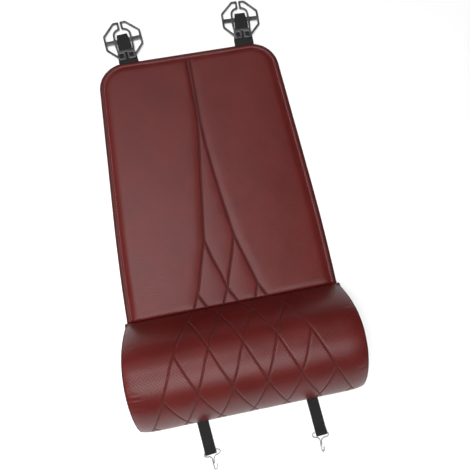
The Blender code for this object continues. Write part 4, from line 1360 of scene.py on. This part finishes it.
def plate_mesh(name, place, material):
    """A moulded plate with rounded edges round its outline and windows."""
    loops = plate_loops()
    rings = []
    cover = Cover()
    for number, loop in enumerate(loops):
        after, before = np.roll(loop, -1, axis=0) - loop, loop - np.roll(loop, 1, axis=0)
        into = turned_left(unit(unit(after) + unit(before))) * (1.0 if number == 0 else -1.0)
        rows = [np.column_stack([loop + into * inset, np.full(len(loop), height)]) for inset, height in PLATE_EDGE]
        rings.append(loop + into * PLATE_EDGE[0][0])
        points = np.concatenate(rows)
        faces = lathe_faces(len(rows), len(loop), True)
        # Mask for the painted glint on the rounded edge, with some wear
        edge = np.repeat([0.4, 1.0, 1.0, 1.0, 1.0, 0.4], len(loop))
        cover.add(points, points[:, :2] * MM, faces, masks={"edge": edge})
    verts = [Vector(p) for ring in rings for p in ring]
    spans, first = [], 0
    for ring in rings:
        spans.append(list(range(first, first + len(ring))))
        first += len(ring)
    edges = [(span[k], span[(k + 1) % len(span)]) for span in spans for k in range(len(span))]
    flat, _, triangles = delaunay_2d_cdt(verts, edges, [], 0, 1e-5)[:3]
    flat = np.array([tuple(p) for p in flat])
    kept = []
    for face in triangles:
        middle = flat[list(face)].mean(axis=0)
        turns = [within(middle, ring) for ring in rings]
        if turns[0] and not any(turns[1:]):
            kept.append(tuple(face))
    for height in (PLATE_EDGE[0][1], PLATE_EDGE[-1][1]):
        cover.add(np.column_stack([flat, np.full(len(flat), height)]), flat * MM, kept)
    for k, (points, uv, faces, masks) in enumerate(cover.patches):
        local = points * MM - (0.0, 0.0, PLATE_THICKNESS / 2)
        lift = Matrix.Translation((0.0, 0.0, PLATE_LIFT + PLATE_THICKNESS / 2)) @ Matrix.Rotation(PLATE_TILT, 4, "X")
        whole = np.array(place @ lift)
        cover.patches[k] = (local @ whole[:3, :3].T + whole[:3, 3], uv, faces, masks)
    plate = cover.build(name, material)
    plate.data.set_sharp_from_angle(angle=math.radians(50))
    return plate


# Wire hooks

def hook_path(lean, twist):
    """The bent wire's centre line, tip first, in metres from the middle of its ring's bar."""
    last_ring = [(-x, y) for x, y in reversed(HOOK_RING)]
    flat = list(HOOK_TIP) + list(HOOK_STEM) + list(HOOK_RING) + last_ring + list(HOOK_LAST)
    path = []
    for k, (x, y) in enumerate(flat):
        drop = -HOOK_FOOT * min(1.0, -y / HOOK_DROP_LENGTH)
        rise = 0.0
        if k < len(HOOK_TIP):
            x, rise = x * math.cos(twist), max(0.0, x * math.sin(twist))
        x -= math.tan(lean) * max(0.0, -y - HOOK_LEAN_START)
        path.append((x, y, drop + rise))
    return np.array(path)


def wire_mesh(name, path, place, material):
    """A round wire with rounded ends along a smooth path in millimetres."""
    fine = smooth_path(path, run_along(path), lambda span: WIRE_STEPS)
    curve = bpy.data.curves.new(name, "CURVE")
    curve.dimensions = "3D"
    curve.bevel_depth = WIRE_RADIUS
    curve.bevel_resolution = 3
    curve.use_fill_caps = True
    spline = curve.splines.new("POLY")
    spline.points.add(len(fine) + 3)
    before, after = unit(np.array((fine[0] - fine[1], fine[-1] - fine[-2])))
    whole, sizes = list(fine), [1.0] * len(fine)
    for past, size in WIRE_ENDS:
        whole = [fine[0] + before * past, *whole, fine[-1] + after * past]
        sizes = [size, *sizes, size]
    for point, co, size in zip(spline.points, whole, sizes):
        point.co = (*(np.array(co) * MM), 1.0)
        point.radius = size
    guide = bpy.data.objects.new(name + "_guide", curve)
    bpy.context.scene.collection.objects.link(guide)
    mesh = evaluated_mesh(guide)
    mesh.transform(place)
    face_outwards(mesh, merge=1e-6)
    mesh.shade_smooth()
    mesh.set_sharp_from_angle(angle=math.radians(60))
    return piece_from(name, mesh, material)


# Operators

MADE = {}


def shared(make, *settings):
    """A shape or finish that several operators use, made for the first of them."""
    if make not in MADE:
        MADE[make] = make(*settings)
    return MADE[make]


def cover_finish(scene):
    return shared(leatherette, scene.cushion_colours, scene.cushion_sizes)


class CUSHION_OT_seat_cover(bpy.types.Operator):
    """Make the padded seat panel with its rolled hem and sewn channels"""

    bl_idname = "cushion.seat_cover"
    bl_label = "Seat cover"

    def execute(self, context):
        scene = context.scene
        piece = seat_mesh(shared(SeatCover, scene.cushion_sizes), cover_finish(scene))
        finished(piece, "seat_panel")
        return {"FINISHED"}


class CUSHION_OT_roll_cover(bpy.types.Operator):
    """Make the filled leg roll with its diamond channels and end walls"""

    bl_idname = "cushion.roll_cover"
    bl_label = "Leg roll cover"

    def execute(self, context):
        scene = context.scene
        piece = roll_mesh(shared(RollCover, scene.cushion_sizes), cover_finish(scene))
        finished(piece, "leg_roll")
        return {"FINISHED"}


class CUSHION_OT_stitching(bpy.types.Operator):
    """Sew the hem and the channels"""

    bl_idname = "cushion.stitching"
    bl_label = "Stitching"

    def execute(self, context):
        scene = context.scene
        seat, roll = shared(SeatCover, scene.cushion_sizes), shared(RollCover, scene.cushion_sizes)
        stitches = scene.cushion_stitches
        bright = thread_finish("topstitch_thread", scene.cushion_colours.thread)
        dark = thread_finish("channel_thread", shade(scene.cushion_colours.thread, 0.18))
        hem = spaced(hem_ring(STITCH_INSET)[2:-2], 3 * MM)
        finished(stitched("hem_stitches", [seat_stitch_line(seat, hem, 0.55 * MM)], bright, stitches))
        channels = [seat_stitch_line(seat, spaced(line, 3 * MM), 0.1 * MM) for line in seat.channels]
        finished(stitched("seat_channel_stitches", channels, dark, stitches))
        diamonds = [roll_stitch_line(roll, spaced(line, 3 * MM), 0.1 * MM) for line in roll.channels]
        finished(stitched("roll_channel_stitches", diamonds, dark, stitches))
        return {"FINISHED"}


class CUSHION_OT_elastic_straps(bpy.types.Operator):
    """Make the elastic straps that run from the back hem through the anchor plates"""

    bl_idname = "cushion.elastic_straps"
    bl_label = "Elastic straps"

    def execute(self, context):
        material = elastic_finish(context.scene.cushion_colours)
        for side, x, y, turn, hem in ANCHORS:
            wide = ELASTIC_WIDTH / MM
            path = np.array([(-hem - ELASTIC_TUCK, 0.95, wide), (-hem - 1.0, 0.95, wide), *ELASTIC_PATH])
            path = smooth_path(path, run_along(path[:, :2]), lambda span: max(1, math.ceil(span / 2.0)))
            rows = strap_rows(path, strap_place(x, y, turn))
            piece = ribbon(f"elastic_{side}", rows, ELASTIC_THICKNESS, material, columns=25, folds=0.5 * MM)
            finished(piece, f"anchor_strap_{side}")
        return {"FINISHED"}


class CUSHION_OT_anchor_plates(bpy.types.Operator):
    """Make the moulded anchor plates"""

    bl_idname = "cushion.anchor_plates"
    bl_label = "Anchor plates"

    def execute(self, context):
        material = plastic_finish(context.scene.cushion_colours)
        for side, x, y, turn, _ in ANCHORS:
            piece = plate_mesh(f"anchor_{side}", strap_place(x, y, turn), material)
            finished(piece, f"anchor_plate_{side}")
        return {"FINISHED"}


class CUSHION_OT_webbing_straps(bpy.types.Operator):
    """Make the doubled webbing straps that loop through the hooks' rings"""

    bl_idname = "cushion.webbing_straps"
    bl_label = "Webbing straps"

    def execute(self, context):
        scene = context.scene
        material = webbing_finish(scene.cushion_colours)
        thread = thread_finish("black_strap_thread", scene.cushion_colours.webbing)
        front = (CREST_Y - FRONT_REACH) / MM
        wide = WEBBING_WIDTH / MM
        for side, x, before, turn, *_ in HOOKS:
            place = strap_place(x, -before, turn)
            reach = before + front + WEBBING_TUCK
            low, high = WEBBING_LAYERS
            path = [(along, low, wide) for along in np.arange(reach, 2.0, -3.0)]
            for angle in np.linspace(-90.0, -270.0, 15):
                turned = math.radians(angle)
                path.append((LOOP_RADIUS * math.cos(turned), LOOP_MIDDLE + LOOP_RADIUS * math.sin(turned), wide))
            path += [(along, height, wide) for along, height in WEBBING_FALL]
            path += [(along, high, wide) for along in np.arange(20.0, reach, 3.0)] + [(reach, high, wide)]
            piece = ribbon(f"webbing_{side}", strap_rows(path, place), WEBBING_PLY, material)
            finished(piece, f"hook_strap_{side}")
            tack = spaced(WEBBING_TACK, 1.5)
            points = np.array([place @ Vector((a * MM, b * MM, (high + 0.56) * MM)) for a, b in tack])
            ups = np.tile((0.0, 0.0, 1.0), (len(points), 1))
            seam = stitched(f"tack_{side}", [(points, ups)], thread, scene.cushion_stitches, length=2.2 * MM,
                            spacing=2.6 * MM, width=0.5 * MM)
            finished(seam)
        return {"FINISHED"}


class CUSHION_OT_wire_hooks(bpy.types.Operator):
    """Make the bent wire hooks"""

    bl_idname = "cushion.wire_hooks"
    bl_label = "Wire hooks"

    def execute(self, context):
        material = metal_finish(context.scene.cushion_colours)
        for side, x, before, turn, shift, hook_turn, lean, twist in HOOKS:
            bar = Matrix.Translation((shift * MM, BAR_PLACE * MM, LOOP_MIDDLE * MM))
            place = strap_place(x, -before, turn) @ bar @ Matrix.Rotation(math.radians(hook_turn), 4, "Z")
            path = hook_path(math.radians(lean), math.radians(twist))
            piece = wire_mesh(f"wire_hook_{side}", path, place, material)
            finished(piece, f"hook_{side}")
        return {"FINISHED"}


class CUSHION_OT_studio(bpy.types.Operator):
    """Set up the pale floor, the soft lights and the camera"""

    bl_idname = "cushion.studio"
    bl_label = "Studio"

    def execute(self, context):
        scene = context.scene
        setup = scene.cushion_studio
        finish = Finish("pale_paper")
        tooth = finish.noise(40 * MM, 3.0)
        finish.surface({"Base Color": finish.blend(tooth, setup.floor, [0.985 * c for c in setup.floor]),
                        "Roughness": 0.85, "Specular IOR Level": 0.1, "Emission Color": setup.floor,
                        "Emission Strength": setup.glow})
        bm = bmesh.new()
        bmesh.ops.create_grid(bm, x_segments=8, y_segments=8, size=12.0)
        mesh = bpy.data.meshes.new("floor")
        bm.to_mesh(mesh)
        bm.free()
        mesh.transform(Matrix.Translation((0.0, 0.0, -0.4 * MM)))
        piece_from("floor", mesh, finish.material)
        self.lamp(scene, setup.lamp_power)
        scene.world = self.surroundings(setup)
        scene.view_settings.view_transform = "Standard"
        camera = bpy.data.cameras.new("camera")
        camera.lens = CAMERA_LENS
        camera.sensor_width = CAMERA_SENSOR
        camera.clip_end = 50.0
        view = bpy.data.objects.new("camera", camera)
        tilt, roll, turn = (Matrix.Rotation(angle, 4, axis) for angle, axis in zip(CAMERA_TURNS, "XYZ"))
        view.matrix_world = Matrix.Translation(CAMERA_PLACE) @ (turn @ tilt @ roll).transposed()
        scene.collection.objects.link(view)
        scene.camera = view
        return {"FINISHED"}

    @staticmethod
    def surroundings(setup):
        """Surroundings that are white to the camera and light the cushion as soft lights overhead do."""
        world = bpy.data.worlds.new("pale_room")
        world.use_nodes = True
        tree = world.node_tree
        ray = add_node(tree, "ShaderNodeTexCoord").outputs["Generated"]
        across, along, up = (Number(part) for part in add_node(tree, "ShaderNodeSeparateXYZ", None, {0: ray}).outputs)
        leans = [(along * -1.0).math("ARCTAN2", up), across.math("ARCTAN2", up)]
        total = leans[0] * 0.0 + setup.fill
        for name, *ranges in SOFT_LIGHTS:
            light = getattr(setup, name)
            for lean, span in zip(leans, ranges):
                low, high = (math.radians(angle) for angle in span)
                inner = lean.ramp(low - setup.fade, low + setup.fade)
                light = inner * (1.0 - lean.ramp(high - setup.fade, high + setup.fade)) * light
            total = total + light
        seen = Number(add_node(tree, "ShaderNodeLightPath").outputs["Is Camera Ray"])
        background = tree.nodes["Background"]
        plug(background.inputs["Color"], (1.0, 1.0, 1.0))
        plug(background.inputs["Strength"], total * (1.0 - seen) + seen)
        return world

    @staticmethod
    def lamp(scene, power):
        """A soft lamp at the left that adds no shadow and no gloss."""
        light = bpy.data.lights.new("left_lamp", "AREA")
        light.shape = "RECTANGLE"
        light.size = light.size_y = LAMP_SIZE
        light.energy = power
        light.use_shadow = False
        obj = bpy.data.objects.new("left_lamp", light)
        aim = (LAMP_TARGET - LAMP_PLACE).to_track_quat("-Z", "Y").to_matrix().to_4x4()
        obj.matrix_world = Matrix.Translation(LAMP_PLACE) @ aim
        obj.visible_glossy = False
        scene.collection.objects.link(obj)


class CUSHION_PT_sidebar(bpy.types.Panel):
    """Lists the cushion's sizes, colours and builders"""

    bl_idname = "CUSHION_PT_sidebar"
    bl_label = "Car seat cushion"
    bl_space_type = "VIEW_3D"
    bl_region_type = "UI"
    bl_category = "Cushion"

    def draw(self, context):
        for group in (context.scene.cushion_sizes, context.scene.cushion_stitches, context.scene.cushion_colours,
                      context.scene.cushion_studio):
            box = self.layout.box()
            for name in group.bl_rna.properties.keys():
                if name not in ("rna_type", "name"):
                    box.prop(group, name)
        for operator in OPERATORS:
            self.layout.operator(operator.bl_idname)


GROUPS = {
    "cushion_sizes": CushionSizes,
    "cushion_stitches": StitchSizes,
    "cushion_colours": CushionColours,
    "cushion_studio": StudioSetup,
}
OPERATORS = (
    CUSHION_OT_studio,
    CUSHION_OT_seat_cover,
    CUSHION_OT_roll_cover,
    CUSHION_OT_stitching,
    CUSHION_OT_elastic_straps,
    CUSHION_OT_anchor_plates,
    CUSHION_OT_webbing_straps,
    CUSHION_OT_wire_hooks,
)


def register():
    for cls in (*GROUPS.values(), *OPERATORS, CUSHION_PT_sidebar):
        bpy.utils.register_class(cls)
    for name, group in GROUPS.items():
        setattr(bpy.types.Scene, name, PointerProperty(type=group))


def unregister():
    for name in GROUPS:
        delattr(bpy.types.Scene, name)
    for cls in (CUSHION_PT_sidebar, *reversed(OPERATORS), *reversed(GROUPS.values())):
        bpy.utils.unregister_class(cls)


def main():
    register()
    bpy.ops.cushion.studio()
    bpy.ops.cushion.seat_cover()
    bpy.ops.cushion.roll_cover()
    bpy.ops.cushion.stitching()
    bpy.ops.cushion.elastic_straps()
    bpy.ops.cushion.anchor_plates()
    bpy.ops.cushion.webbing_straps()
    bpy.ops.cushion.wire_hooks()


if __name__ == "__main__":
    main()
